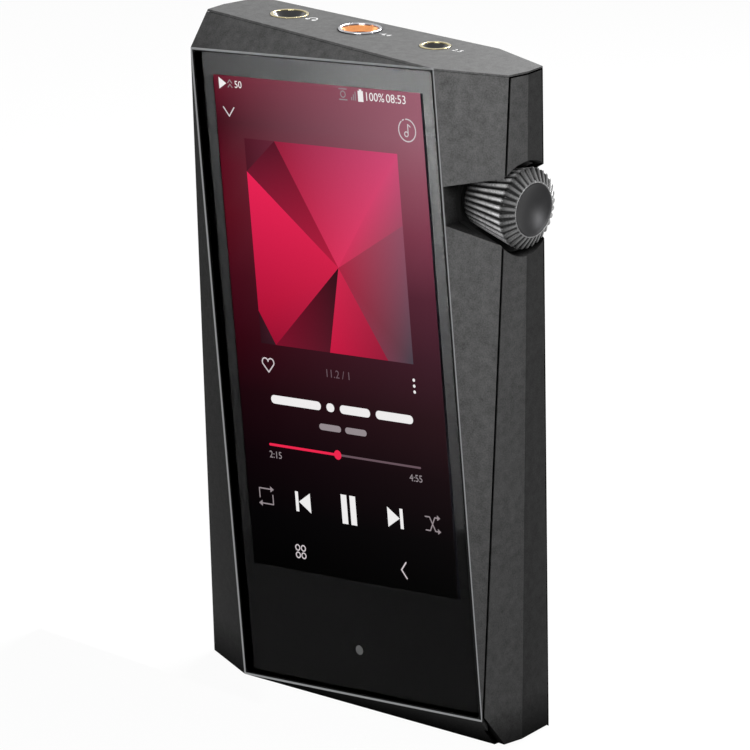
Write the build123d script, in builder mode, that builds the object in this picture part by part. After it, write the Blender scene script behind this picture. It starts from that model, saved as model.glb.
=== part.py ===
from build123d import *
import os
from math import cos, radians, sin

# A pocket digital audio player that stands on its bottom face: a faceted aluminium case with a
# tilted glass front, a fluted volume wheel in a recess of the right side, three buttons and a
# card slot in the left side, three headphone sockets on top and a USB-C socket underneath.
# Origin: middle of the bottom face. +X is the player's right as seen from the front, +Z is up and
# the screen faces -Y. "Depth" is a distance behind the front plane.

os.makedirs("parts", exist_ok=True)

# ---------------------------------------------------------------- driving dimensions, millimetres
HEIGHT = 108.3
THICKNESS = 16.1
SIDE_X = 32.0  # the upright ridge line of each side
BACK_X = 31.0  # the side's rear edge
RIDGE_DEPTH = 8.5
FACET_DEPTH = 4.5  # where the four front facets run out on the top, sides and bottom
CHAMFER_X = 19.6  # the two rear facets start here, at the top right and bottom left
CHAMFER_DEPTH = 12.4  # and end here on the side

TILT = 5.95  # the glass front is turned by this many degrees in the front plane
FRONT_WIDTH = 51.6  # outline of the tilted front rectangle
RIM = 0.5  # metal rim round the glass
SLIP = 0.05  # clearance of a piece in its seat
SEAM = 0.5  # shadow gap in front of the side rails, half as wide behind and below them

WALL = 1.7
FLOOR = 1.9
CAVITY_FRONT = 5.6
CAVITY_BACK = 14.3
RAIL_INNER_X = 29.9
CAVITY_X = RAIL_INNER_X - 1.6
TOP_PLATE = 0.3  # its edge, above the land
TOP_PLATE_JOINT = 0.04
RAIL_TOP_GAP = 0.2

GLASS = 0.9
GLASS_INSET = 0.03
MASK_DEPTH = 0.97
PANEL_DEPTH = 1.15
SCREEN_WIDTH = 44.8
SCREEN_HEIGHT = 80.2
SCREEN_RISE = 7.4  # the lit area's centre above the glass's centre

WHEEL_DEPTH = 8.8
WHEEL_Z = 86.75
WHEEL_SMALL_R = 4.3
WHEEL_LARGE_R = 6.45
WHEEL_IN_X = 22.5
WHEEL_RIM_X = 31.75
WHEEL_OUT_X = 33.15
WHEEL_FLUTES = 32
DISH_R = 4.12
WELL_FLOOR_X = 21.8
WELL_MOUTH_X = 32.0
WELL_SMALL_R = 5.0
WELL_MOUTH_R = 7.5
NOTCH_Z = 87.1
NOTCH_HALF = (3.04, 5.23)  # half heights of the finger notch at x = 22 and x = 31.2
SHAFT_R = 1.5
CARRIER_R = 3.0
RUNNING = 0.03  # radial clearance of shafts and slides

SOCKET_DEPTH = 10.8
# name, x, plug bore radius, collar radius, how far the collar stands above the top plate
SOCKETS = (
    ("3_5", -19.7, 1.80, 3.10, 0.12),
    ("4_4", -4.6, 2.25, 3.45, 0.30),
    ("2_5", 11.1, 1.30, 2.50, 0.12),
)
SOCKET_FLOOR_Z = 91.5
SOCKET_BORE_Z = 93.0
SOCKET_TOP_Z = 105.0

BUTTON_DEPTH = 8.5
BUTTONS = (("previous", 78.0), ("play", 66.0), ("next", 54.0))
BUTTON_LENGTH = 9.0
BUTTON_WIDTH = 2.5
CARD_Z = 22.0
CARD_DEPTH = 7.15
USB_DEPTH = THICKNESS / 2

# ---------------------------------------------------------------- shared geometry
SCREEN_TURN = radians(TILT)
FRONT_HEIGHT = (HEIGHT - FRONT_WIDTH * sin(SCREEN_TURN)) / cos(SCREEN_TURN)
FRONT_X = (FRONT_WIDTH * cos(SCREEN_TURN) + FRONT_HEIGHT * sin(SCREEN_TURN)) / 2
SIDE_SLOPE = (SIDE_X - FRONT_X) / RIDGE_DEPTH
FACET_X = FRONT_X + SIDE_SLOPE * FACET_DEPTH
FACE_WIDTH = FRONT_WIDTH - 2 * RIM
FACE_HEIGHT = FRONT_HEIGHT - 2 * RIM


def y_of(depth):
    """The Y coordinate at a depth behind the front plane."""
    return depth - THICKNESS / 2


CENTRE = Vector(0, 0, HEIGHT / 2)
WHEEL_Y = y_of(WHEEL_DEPTH)
WHEEL_AXIS = Axis((0, WHEEL_Y, WHEEL_Z), (1, 0, 0))
WHEEL_SECTION = Plane(origin=(0, WHEEL_Y, WHEEL_Z), x_dir=(1, 0, 0), z_dir=(0, -1, 0))


def half_turn(point):
    """The point on the other side of the case, which is the same after half a turn about Y."""
    return Vector(-point.X, point.Y, HEIGHT - point.Z)


def plane_through(a, b, c, inset=0.0):
    """The plane through three points, moved into the case by inset and facing out of it."""
    normal = (b - a).cross(c - a).normalized()
    if normal.dot(a - CENTRE) < 0:
        normal = normal * -1
    return Plane(origin=a - normal * inset, z_dir=normal)


def front_plane(depth):
    """An upright plane at a depth, whose sketches are seen from the front."""
    return Plane(origin=(0, y_of(depth), 0), x_dir=(1, 0, 0), z_dir=(0, -1, 0))


def screen_plane(depth):
    """The same plane turned with the glass, with its origin in the middle of the glass."""
    right = (cos(SCREEN_TURN), 0, sin(SCREEN_TURN))
    return Plane(origin=(0, y_of(depth), HEIGHT / 2), x_dir=right, z_dir=(0, -1, 0))


def side_plane(x):
    """An upright plane across X: sketch x is Y, and sketch y is Z."""
    return Plane.YZ.offset(x)


def wheel_plane(x):
    """A plane across the wheel's axis, with its origin on the axis."""
    return Plane(origin=(x, WHEEL_Y, WHEEL_Z), x_dir=(0, 1, 0), z_dir=(1, 0, 0))


def block(x, depth, z, mode=Mode.ADD):
    """A box between a low and a high limit along X, in depth and along Z."""
    middle = (sum(x) / 2, y_of(sum(depth) / 2), sum(z) / 2)
    with Locations(middle):
        Box(x[1] - x[0], depth[1] - depth[0], z[1] - z[0], mode=mode)


def profile(plane, points):
    """A closed outline of straight lines on a plane."""
    with BuildSketch(plane) as outline:
        with BuildLine():
            Polyline(*points, close=True)
        make_face()
    return outline.sketch


def screen_slab(width, height, near, far, radius, rise=0.0, mode=Mode.ADD):
    """A round-cornered plate turned with the glass, from one depth to another."""
    with BuildSketch(screen_plane(near)) as outline:
        with Locations((0, rise)):
            RectangleRounded(width, height, radius)
    extrude(outline.sketch, amount=near - far, mode=mode)


def peg(x, z, near, far, radius, mode=Mode.ADD):
    """A round peg along Y, from one depth to another."""
    with BuildSketch(front_plane(near)) as section:
        with Locations((x, z)):
            Circle(radius)
    extrude(section.sketch, amount=near - far, mode=mode)


def ring(inner, outer, x, length, mode=Mode.ADD):
    """A ring about the wheel's axis, from x to x + length."""
    with BuildSketch(wheel_plane(x)) as section:
        Circle(outer)
        if inner:
            Circle(inner, mode=Mode.SUBTRACT)
    extrude(section.sketch, amount=length, mode=mode)


def stadium(plane, length, width, centre, turn=0.0):
    """A slot outline with round ends."""
    with BuildSketch(plane) as outline:
        with Locations(Location(centre, turn)):
            SlotOverall(length, width)
    return outline.sketch


def keep(part, name):
    """Labels a finished piece and writes it."""
    part.label = name
    export_step(part, f"parts/{name}.step")


# ---------------------------------------------------------------- the case's outer form
# A six-sided upright prism. Four long triangular facets run from the tilted front rectangle to
# the outer corners, and two more take off the rear edges at the top right and bottom left.
front_corners = [
    screen_plane(0).from_local_coords(Vector(sx * FRONT_WIDTH / 2, sy * FRONT_HEIGHT / 2, 0))
    for sx, sy in ((1, 1), (1, -1), (-1, -1), (-1, 1))
]
outer_corners = [
    Vector(sx * FACET_X, y_of(FACET_DEPTH), z) for sx, z in ((1, HEIGHT), (1, 0), (-1, 0), (-1, HEIGHT))
]
chamfer_points = (
    Vector(CHAMFER_X, y_of(THICKNESS), HEIGHT),
    Vector(BACK_X, y_of(THICKNESS), 0),
    Vector(SIDE_X - (SIDE_X - BACK_X) * (CHAMFER_DEPTH - RIDGE_DEPTH) / (THICKNESS - RIDGE_DEPTH),
           y_of(CHAMFER_DEPTH), HEIGHT),
)


def facet_planes(inset=0.0):
    """The four front facets: each holds one side of the front rectangle and an outer corner."""
    planes = []
    for i in range(4):
        planes.append(plane_through(front_corners[i - 1], front_corners[i], outer_corners[i - 1], inset))
    return planes


def chamfer_planes(inset=0.0):
    """The two rear facets, at the right and at the left."""
    turned = [half_turn(p) for p in chamfer_points]
    return [plane_through(*chamfer_points, inset), plane_through(*turned, inset)]


with BuildPart() as envelope:
    plan = [
        (FRONT_X, y_of(0)),
        (SIDE_X, y_of(RIDGE_DEPTH)),
        (BACK_X, y_of(THICKNESS)),
        (-BACK_X, y_of(THICKNESS)),
        (-SIDE_X, y_of(RIDGE_DEPTH)),
        (-FRONT_X, y_of(0)),
    ]
    extrude(profile(Plane.XY, plan), amount=HEIGHT)
    for cut in facet_planes() + chamfer_planes():
        split(bisect_by=cut, keep=Keep.BOTTOM)


# The inside of the case, behind the screen's shelf. It is open at the back through the rear frame.
SHELL_TOP_Z = HEIGHT - TOP_PLATE - TOP_PLATE_JOINT
CAVITY_TOP_Z = 105.4
BACK_SLANT = BACK_X - CHAMFER_X
COVER_FRAME = 1.3
COVER = 0.9
COVER_SHELF = 1.5


def back_panel_outline(depth, inset):
    """The leaning four-sided outline of the flat back, drawn in from its edges."""
    low, high = inset, HEIGHT - inset
    lean = BACK_SLANT / HEIGHT
    left = [-BACK_X + BACK_SLANT - lean * z + inset for z in (low, high)]
    right = [BACK_X - lean * z - inset for z in (low, high)]
    corners = [(left[0], low), (right[0], low), (right[1], high), (left[1], high)]
    return profile(front_plane(depth), corners)


with BuildPart() as cavity:
    block((-CAVITY_X, CAVITY_X), (CAVITY_FRONT, CAVITY_BACK), (FLOOR, CAVITY_TOP_Z))
    for cut in chamfer_planes(WALL):
        split(bisect_by=cut, keep=Keep.BOTTOM)
    fillet(cavity.edges().filter_by(Axis.Y), 1.2)

# ---------------------------------------------------------------- the wheel's recess
# A cone round the wheel that opens to the right, with a finger notch that widens towards the
# side cut through the right front facet.
NOTCH_X = (22.0, 31.2)
NOTCH_RIM_GAP = 0.2  # metal left between the glass outline and the notch
CUT_END_X = 36.0


def flared(value_in, value_out, x_in, x_out, x):
    """A straight-line taper between two sizes, carried on to x."""
    return value_in + (value_out - value_in) * (x - x_in) / (x_out - x_in)


def well_r(x):
    return flared(WELL_SMALL_R, WELL_MOUTH_R, WELL_FLOOR_X, WELL_MOUTH_X, x)


def right_outline_x(z):
    """The right edge of the tilted front rectangle at a height."""
    return front_corners[1].X - (z - front_corners[1].Z) * sin(SCREEN_TURN) / cos(SCREEN_TURN)


notch_end_half = flared(*NOTCH_HALF, *NOTCH_X, CUT_END_X)
notch_top = NOTCH_Z + NOTCH_HALF[0]
notch_bottom = NOTCH_Z - NOTCH_HALF[0]
with BuildPart() as recess_cut:
    cone = [(WELL_FLOOR_X, 0), (WELL_FLOOR_X, WELL_SMALL_R), (CUT_END_X, well_r(CUT_END_X)), (CUT_END_X, 0)]
    revolve(profile(WHEEL_SECTION, cone), axis=WHEEL_AXIS)
    notch = [
        (right_outline_x(notch_bottom) + NOTCH_RIM_GAP, notch_bottom),
        (CUT_END_X, NOTCH_Z - notch_end_half),
        (CUT_END_X, NOTCH_Z + notch_end_half),
        (right_outline_x(notch_top) + NOTCH_RIM_GAP, notch_top),
    ]
    extrude(profile(front_plane(-1), notch), amount=-(WHEEL_DEPTH + 1))

# The space for the recess's liner, kept clear of the front facet, the rear facet and the back.
WELL_IN_X = WELL_FLOOR_X - 1.2
WELL_OUT_X = RAIL_INNER_X - 0.1
WELL_SKIN = 1.1
WELL_WALL = 0.8
LAMP_BAY_R = 5.6


def well_blank(wall, x_in, x_out, skin):
    """The liner's outer form: a cone cut back where the case's own walls pass it."""
    section = [(x_in, 0), (x_in, well_r(x_in) + wall), (x_out, well_r(x_out) + wall), (x_out, 0)]
    with BuildPart() as blank:
        revolve(profile(WHEEL_SECTION, section), axis=WHEEL_AXIS)
        split(bisect_by=facet_planes(skin)[1], keep=Keep.BOTTOM)
        split(bisect_by=chamfer_planes(skin)[0], keep=Keep.BOTTOM)
        split(bisect_by=front_plane(THICKNESS - 1.2), keep=Keep.TOP)
    return blank.part


# ---------------------------------------------------------------- case
# Housing: one machined aluminium frame with the glass seat, the four front facets, the two rear
# facets and the bottom. The sides are let in as rails, and the top is closed by a plate.
DISPLAY_BAY = (46.4, 97.6)
GLASS_SEAT = PANEL_DEPTH
LAND_X = 27.0
LAND_DEPTH = (5.8, 12.4)
LAND = 0.9


RAIL_LIP_X = 30.75  # the rails are thin in front of this depth, beside the glass seat's corner
RAIL_LIP_DEPTH = 1.7


def rail_form(side, gap):
    """A rail's blank for side 1 (right) or -1 (left), or its pocket where the gap is 0.

    Its edges are the slanting front seam, the rear facet's edge, the gap under the top plate
    and the bottom. The left side is the right one after half a turn, under the same top plate.
    """
    top = SHELL_TOP_Z - (RAIL_TOP_GAP if gap else 0)
    low = gap / 2 if gap else -1
    hair = 0.06
    if side > 0:
        tip = front_corners[1].Z
        seam_top = FACET_DEPTH * (top - tip) / (HEIGHT - tip)
        back_top = THICKNESS - (THICKNESS - CHAMFER_DEPTH) * top / HEIGHT
        back_low = THICKNESS
        front = [(FACET_DEPTH + gap / 2, low), (hair + gap, tip + gap), (seam_top + hair + gap, top)]
    else:
        tip = front_corners[3].Z
        seam_top = FACET_DEPTH * (top - tip) / (HEIGHT - tip)
        back_top = THICKNESS
        back_low = CHAMFER_DEPTH
        front = [(FACET_DEPTH + hair + gap, low), (hair + gap, tip), (seam_top + hair + gap, top)]
    outline = front + [(back_top - gap / 2, top), (back_low - gap / 2, low)]
    inner = RAIL_INNER_X + (SLIP if gap else 0)
    lip = RAIL_LIP_X + (SLIP if gap else 0)
    with BuildPart() as form:
        extrude(profile(side_plane(side * inner), [(y_of(d), z) for d, z in outline]), amount=side * 4)
        behind_lip = sorted((side * RAIL_INNER_X, side * lip))
        block(behind_lip, (-1, RAIL_LIP_DEPTH), (-1, HEIGHT), mode=Mode.SUBTRACT)
    return form.part


def side_opening(length, width, z, depth):
    """A slot outline in the left side, with its length upright."""
    return stadium(side_plane(-CAVITY_X + 0.1), length, width, (y_of(depth), z), 90)


FRAME_SCREWS = ((24.5, 101.0), (25.5, 60.0), (-24.5, 7.3), (-25.5, 44.0))
THREAD_HOLE_R = 0.65


with BuildPart() as housing:
    add(envelope.part)
    split(bisect_by=Plane.XY.offset(SHELL_TOP_Z), keep=Keep.BOTTOM)
    screen_slab(FACE_WIDTH, FACE_HEIGHT, -1, GLASS_SEAT, 0.6, mode=Mode.SUBTRACT)
    screen_slab(*DISPLAY_BAY, 0, CAVITY_FRONT + 1, 0.8, mode=Mode.SUBTRACT)
    add(cavity.part, mode=Mode.SUBTRACT)
    extrude(back_panel_outline(THICKNESS - COVER, COVER_FRAME), amount=-2, mode=Mode.SUBTRACT)
    extrude(back_panel_outline(CAVITY_BACK - 1, COVER_FRAME + COVER_SHELF), amount=-4, mode=Mode.SUBTRACT)
    add(rail_form(1, 0), mode=Mode.SUBTRACT)
    add(rail_form(-1, 0), mode=Mode.SUBTRACT)
    block((-LAND_X - SLIP, LAND_X + SLIP), (LAND_DEPTH[0] - SLIP, LAND_DEPTH[1] + SLIP),
          (HEIGHT - TOP_PLATE - LAND - SLIP, HEIGHT), mode=Mode.SUBTRACT)
    add(well_blank(WELL_WALL + SLIP, WELL_IN_X - SLIP, RAIL_INNER_X + 1, WELL_SKIN - SLIP),
        mode=Mode.SUBTRACT)
    ring(0, LAMP_BAY_R, WELL_IN_X - 6, 6, mode=Mode.SUBTRACT)
    add(recess_cut.part, mode=Mode.SUBTRACT)
    for _, x, _, collar_r, _ in SOCKETS:
        with Locations((x, y_of(SOCKET_DEPTH), HEIGHT - 2)):
            Cylinder(collar_r - 0.35, 6, mode=Mode.SUBTRACT)
    usb_opening = stadium(Plane.XY.offset(-1), 9.3, 3.5, (0, y_of(USB_DEPTH)))
    extrude(usb_opening, amount=FLOOR + 2, mode=Mode.SUBTRACT)
    for _, z in BUTTONS:
        with BuildSketch(side_plane(-RAIL_INNER_X - 1)) as stem_hole:
            with Locations((y_of(BUTTON_DEPTH), z)):
                Circle(1.0)
        extrude(stem_hole.sketch, amount=4, mode=Mode.SUBTRACT)
    extrude(side_opening(12.2, 1.8, CARD_Z, CARD_DEPTH), amount=-3, mode=Mode.SUBTRACT)
    for x, z in FRAME_SCREWS:
        peg(x, z, CAVITY_FRONT - 2.6, CAVITY_FRONT + 0.1, THREAD_HOLE_R, mode=Mode.SUBTRACT)
keep(housing.part, "housing")

# Top plate: a thin plate with the case's outline and a land underneath that drops into the
# housing. Three sockets open through it.
with BuildPart() as top_plate:
    add(envelope.part)
    split(bisect_by=Plane.XY.offset(HEIGHT - TOP_PLATE), keep=Keep.TOP)
    block((-LAND_X, LAND_X), LAND_DEPTH, (HEIGHT - TOP_PLATE - LAND, HEIGHT - TOP_PLATE))
    for _, x, _, collar_r, _ in SOCKETS:
        with Locations((x, y_of(SOCKET_DEPTH), HEIGHT)):
            Cylinder(collar_r + 0.02, 4, mode=Mode.SUBTRACT)
keep(top_plate.part, "top_plate")

# Side rails: thin aluminium side panels with a shadow gap round them. The right one is cut by the
# wheel's recess, and the left one has the buttons' and the card slot's openings.
BUTTON_FLANGE = 0.45
BUTTON_POCKET_X = -RAIL_INNER_X - 0.8

with BuildPart() as right_rails:
    add(envelope.part)
    add(rail_form(1, SEAM), mode=Mode.INTERSECT)
    add(recess_cut.part, mode=Mode.SUBTRACT)

for name, kept in (("side_rail_right_upper", Keep.TOP), ("side_rail_right_lower", Keep.BOTTOM)):
    with BuildPart() as right_rail:
        add(right_rails.part)
        split(bisect_by=Plane.XY.offset(WHEEL_Z), keep=kept)
    keep(right_rail.part, name)

with BuildPart() as side_rail_left:
    add(envelope.part)
    add(rail_form(-1, SEAM), mode=Mode.INTERSECT)
    for _, z in BUTTONS:
        opening = stadium(side_plane(-RAIL_INNER_X), BUTTON_LENGTH + 0.3, BUTTON_WIDTH + 0.3,
                          (y_of(BUTTON_DEPTH), z), 90)
        extrude(opening, amount=-4, mode=Mode.SUBTRACT)
        pocket = stadium(side_plane(-RAIL_INNER_X), BUTTON_LENGTH + 1.7, BUTTON_WIDTH + 1.7,
                         (y_of(BUTTON_DEPTH), z), 90)
        extrude(pocket, amount=BUTTON_POCKET_X + RAIL_INNER_X, mode=Mode.SUBTRACT)
    extrude(side_opening(11.6, 1.2, CARD_Z, CARD_DEPTH), amount=-6, mode=Mode.SUBTRACT)
keep(side_rail_left.part, "side_rail_left")

# Rear cover: a flat plate let into the back, and the ring of adhesive that holds it to its shelf.
ADHESIVE = 0.1
with BuildPart() as rear_cover:
    extrude(back_panel_outline(THICKNESS, COVER_FRAME + 0.12), amount=COVER - ADHESIVE)
    fillet(rear_cover.edges().filter_by(Axis.Y), 0.4)
    chamfer(rear_cover.faces().sort_by(Axis.Y)[-1].edges(), 0.12)
keep(rear_cover.part, "rear_cover")

with BuildPart() as cover_adhesive:
    extrude(back_panel_outline(THICKNESS - COVER + ADHESIVE, COVER_FRAME + 0.2), amount=ADHESIVE)
    extrude(back_panel_outline(THICKNESS, COVER_FRAME + COVER_SHELF - 0.1), amount=4, mode=Mode.SUBTRACT)
keep(cover_adhesive.part, "cover_adhesive")

# ---------------------------------------------------------------- screen
# Cover glass with softened edges, the black printed mask and adhesive behind its border, the
# display panel and its backlight tray, all turned with the glass.
GLASS_GAP = 0.12
GLASS_WIDTH = FACE_WIDTH - 2 * GLASS_GAP
GLASS_HEIGHT = FACE_HEIGHT - 2 * GLASS_GAP
with BuildPart() as cover_glass:
    screen_slab(GLASS_WIDTH, GLASS_HEIGHT, GLASS_INSET, GLASS_INSET + GLASS, 0.5)
    chamfer(cover_glass.faces().sort_by(Axis.Y)[0].edges(), 0.1)
keep(cover_glass.part, "cover_glass")

with BuildPart() as glass_mask:
    screen_slab(GLASS_WIDTH, GLASS_HEIGHT, MASK_DEPTH, PANEL_DEPTH, 0.5)
    screen_slab(SCREEN_WIDTH, SCREEN_HEIGHT, 0, 2, 0.1, SCREEN_RISE, Mode.SUBTRACT)
keep(glass_mask.part, "glass_mask")

PANEL_WIDTH = 45.6
PANEL_BACK = 2.75
TRAY_DEPTH = (2.8, 4.1)
with BuildPart() as display_panel:
    screen_slab(PANEL_WIDTH, 86.6, PANEL_DEPTH, PANEL_BACK, 0.3, SCREEN_RISE - 1.9)
keep(display_panel.part, "display_panel")

with BuildPart() as backlight_tray:
    screen_slab(PANEL_WIDTH - 0.4, 85.4, *TRAY_DEPTH, 0.5, SCREEN_RISE - 1.9)
keep(backlight_tray.part, "backlight_tray")

# Flat cable from the panel's lower edge, folded back through the middle frame.
FLEX = 0.15
FLEX_X = (-5.0, 9.0)
FLEX_FOLD_Z = 10.0
with BuildPart() as display_flex:
    block(FLEX_X, (PANEL_BACK - FLEX, PANEL_BACK), (FLEX_FOLD_Z, 20.0))
    block(FLEX_X, (PANEL_BACK, 7.0), (FLEX_FOLD_Z, FLEX_FOLD_Z + FLEX))
    block(FLEX_X, (7.0 - FLEX, 7.0), (FLEX_FOLD_Z, 33.5))
    screen_slab(PANEL_WIDTH, 86.6, PANEL_DEPTH, TRAY_DEPTH[1], 0.3, SCREEN_RISE - 1.9, Mode.SUBTRACT)
keep(display_flex.part, "display_flex")

# ---------------------------------------------------------------- inside the case
# Middle frame: a magnesium plate screwed to the shelf behind the screen, with bosses for the
# boards. It is cut away round the wheel's liner and where the screen's cable comes through.
FRAME_DEPTH = (5.65, 6.25)
BOARD_DEPTH = (7.0, 7.8)
AUDIO_BOARD_DEPTH = (6.9, 7.7)
BOARD_SCREWS = ((-22.7, 33.5), (25.2, 33.5), (25.2, 71.0), (-22.7, 88.5))
AUDIO_SCREWS = ((-12.3, 98.0), (3.8, 98.0))
SCREW_SHANK_R = 0.6
SCREW_HEAD_R = 1.1
SCREW_HEAD = 0.4

with BuildPart() as mid_frame:
    block((-27.9, 27.9), FRAME_DEPTH, (2.3, 105.0))
    block((9.0, 29.0), (5, 7), (77.5, 96.0), mode=Mode.SUBTRACT)
    block((-6.0, 10.0), (5, 7), (4.0, 14.5), mode=Mode.SUBTRACT)
    for x, z in BOARD_SCREWS:
        peg(x, z, FRAME_DEPTH[1], BOARD_DEPTH[0], 1.5)
    for x, z in AUDIO_SCREWS:
        peg(x, z, FRAME_DEPTH[1], AUDIO_BOARD_DEPTH[0], 1.5)
    for x, z in BOARD_SCREWS + AUDIO_SCREWS + FRAME_SCREWS:
        peg(x, z, 5, 8, THREAD_HOLE_R, mode=Mode.SUBTRACT)
keep(mid_frame.part, "mid_frame")


def screw(x, z, seat, length):
    """A pan-head screw whose head sits on a surface at the seat's depth, with a driver socket."""
    peg(x, z, seat - length, seat, SCREW_SHANK_R)
    peg(x, z, seat, seat + SCREW_HEAD, SCREW_HEAD_R)
    with BuildSketch(front_plane(seat + 0.15)) as socket:
        with Locations((x, z)):
            RegularPolygon(0.45, 6)
    extrude(socket.sketch, amount=-1, mode=Mode.SUBTRACT)


with BuildPart() as frame_screws:
    for x, z in FRAME_SCREWS:
        screw(x, z, FRAME_DEPTH[1], 2.8)
keep(frame_screws.part, "frame_screws")

with BuildPart() as board_screws:
    for x, z in BOARD_SCREWS:
        screw(x, z, BOARD_DEPTH[1], 2.0)
    for x, z in AUDIO_SCREWS:
        screw(x, z, AUDIO_BOARD_DEPTH[1], 1.9)
keep(board_screws.part, "board_screws")

# Main board: an L-shaped circuit board behind the middle frame, with three shield cans over the
# processor, the converter and the amplifier.
with BuildPart() as main_board:
    block((-24.5, 27.0), BOARD_DEPTH, (31.0, 74.0))
    block((-24.5, 6.0), BOARD_DEPTH, (74.0, 91.0))
    for x, z in BOARD_SCREWS:
        peg(x, z, 6, 9, 0.8, mode=Mode.SUBTRACT)
keep(main_board.part, "main_board")

CAN_BACK = 9.3
CAN_SHEET = 0.15
CANS = (((-20.0, -4.0), (60.5, 88.0)), ((-2.5, 5.0), (60.5, 88.0)), ((7.5, 22.5), (61.0, 72.5)))


def shield_can(x, z):
    """A folded can that is open towards the board."""
    with BuildPart() as can:
        block(x, (BOARD_DEPTH[1], CAN_BACK), z)
        fillet(can.edges().filter_by(Axis.Y), 0.5)
        offset(amount=-CAN_SHEET, openings=can.faces().sort_by(Axis.Y)[0])
    return can.part


with BuildPart() as shield_cans:
    for x, z in CANS:
        add(shield_can(x, z))
keep(shield_cans.part, "shield_cans")

CHIP_BACK = 8.7
with BuildPart() as processor_chips:
    block((-18.0, -6.0), (BOARD_DEPTH[1], CHIP_BACK), (74.0, 86.0))
    block((-18.0, -8.0), (BOARD_DEPTH[1], CHIP_BACK - 0.1), (62.0, 71.5))
keep(processor_chips.part, "processor_chips")

with BuildPart() as thermal_pad:
    block((-17.0, -7.0), (CHIP_BACK, CAN_BACK - CAN_SHEET), (75.0, 85.0))
keep(thermal_pad.part, "thermal_pad")

with BuildPart() as audio_chips:
    block((-1.2, 3.8), (BOARD_DEPTH[1], CHIP_BACK), (80.5, 85.5))
    block((-1.2, 3.8), (BOARD_DEPTH[1], CHIP_BACK), (72.5, 77.5))
    block((-0.2, 2.8), (BOARD_DEPTH[1], CHIP_BACK - 0.2), (64.0, 67.2))
    for x in (9.0, 15.5):
        block((x, x + 5.0), (BOARD_DEPTH[1], CHIP_BACK), (64.0, 69.5))
keep(audio_chips.part, "audio_chips")

# Battery: a soft pouch cell below the boards' cans, and the plug and lead that join it to the board.
with BuildPart() as battery:
    block((-24.5, 24.5), (8.3, 13.0), (14.5, 56.5))
    fillet(battery.edges().filter_by(Axis.Z), 1.2)
keep(battery.part, "battery")

with BuildPart() as battery_connector:
    block((8.0, 14.0), (BOARD_DEPTH[1], 9.05), (57.3, 59.8))
    block((9.0, 13.0), (9.05, 9.25), (56.5, 59.2))
keep(battery_connector.part, "battery_connector")

# Antenna: a thin film on the inside of the rear cover.
with BuildPart() as antenna:
    block((-25.0, -5.0), (THICKNESS - COVER + ADHESIVE - 0.15, THICKNESS - COVER + ADHESIVE), (93.0, 103.0))
keep(antenna.part, "antenna")

# ---------------------------------------------------------------- headphone sockets
# Each socket is a moulded body with the plug's bore, a conductive sleeve that lines its mouth, a
# turned collar let into the top plate and soldered terminals that join it to the audio board.
with BuildPart() as audio_board:
    block((-24.0, 16.0), AUDIO_BOARD_DEPTH, (91.6, 104.5))
    for x, z in AUDIO_SCREWS:
        peg(x, z, 6, 9, 0.8, mode=Mode.SUBTRACT)
keep(audio_board.part, "audio_board")

COLLAR = 0.48
BODY_DEPTH = (AUDIO_BOARD_DEPTH[1], 2 * SOCKET_DEPTH - AUDIO_BOARD_DEPTH[1])
for name, x, bore_r, collar_r, proud in SOCKETS:
    half = collar_r + 0.4
    sleeve_r = collar_r - COLLAR
    socket_axis = Axis((x, y_of(SOCKET_DEPTH), 0), (0, 0, 1))
    section = Plane(origin=(x, y_of(SOCKET_DEPTH), 0), x_dir=(1, 0, 0), z_dir=(0, -1, 0))
    lip_z = HEIGHT + proud
    with BuildPart() as socket_body:
        block((x - half, x + half), BODY_DEPTH, (SOCKET_FLOOR_Z, SOCKET_TOP_Z))
        fillet(socket_body.edges().filter_by(Axis.Z).group_by(Axis.Y)[-1], 0.8)
        with BuildSketch(Plane.XY.offset(SOCKET_BORE_Z)) as bore:
            with Locations((x, y_of(SOCKET_DEPTH))):
                Circle(bore_r)
        extrude(bore.sketch, amount=HEIGHT, mode=Mode.SUBTRACT)
    keep(socket_body.part, f"socket_{name}_body")

    # The sleeve flares to a shallow funnel just inside the collar.
    funnel_z = HEIGHT - 0.9
    sleeve = [
        (bore_r + 0.05, SOCKET_TOP_Z),
        (sleeve_r - 0.01, SOCKET_TOP_Z),
        (sleeve_r - 0.01, HEIGHT - 0.05),
        (sleeve_r - 0.12, HEIGHT - 0.05),
        (bore_r + 0.05, funnel_z),
    ]
    with BuildPart() as socket_sleeve:
        revolve(profile(section, sleeve), axis=socket_axis)
    keep(socket_sleeve.part, f"socket_{name}_sleeve")

    foot_z = SHELL_TOP_Z + SLIP
    collar = [(sleeve_r, foot_z), (collar_r, foot_z), (collar_r, lip_z), (sleeve_r, lip_z)]
    with BuildPart() as socket_collar:
        revolve(profile(section, collar), axis=socket_axis)
        fillet(socket_collar.edges().filter_by(GeomType.CIRCLE).group_by(Axis.Z)[-1], min(0.2, proud * 0.7))
    keep(socket_collar.part, f"socket_{name}_collar")

with BuildPart() as socket_terminals:
    for name, x, bore_r, collar_r, proud in SOCKETS:
        for side in (-1, 1):
            edge = x + side * (collar_r + 0.4)
            for z in (93.2, 96.4, 99.6):
                block(sorted((edge, edge + side * 0.25)), (AUDIO_BOARD_DEPTH[1], 9.6), (z, z + 1.1))
keep(socket_terminals.part, "socket_terminals")

# ---------------------------------------------------------------- USB-C socket and its board
USB_WIDTH = 8.94
USB_HEIGHT = 3.26
USB_SHEET = 0.28
USB_END_Z = 7.4
with BuildPart() as usb_shell:
    middle = (0, y_of(USB_DEPTH))
    outside = stadium(Plane.XY.offset(0.1), USB_WIDTH, USB_HEIGHT, middle)
    extrude(outside, amount=USB_END_Z)
    inside = stadium(Plane.XY.offset(-1), USB_WIDTH - 2 * USB_SHEET, USB_HEIGHT - 2 * USB_SHEET, middle)
    extrude(inside, amount=USB_END_Z + 0.8, mode=Mode.SUBTRACT)
keep(usb_shell.part, "usb_shell")

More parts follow.
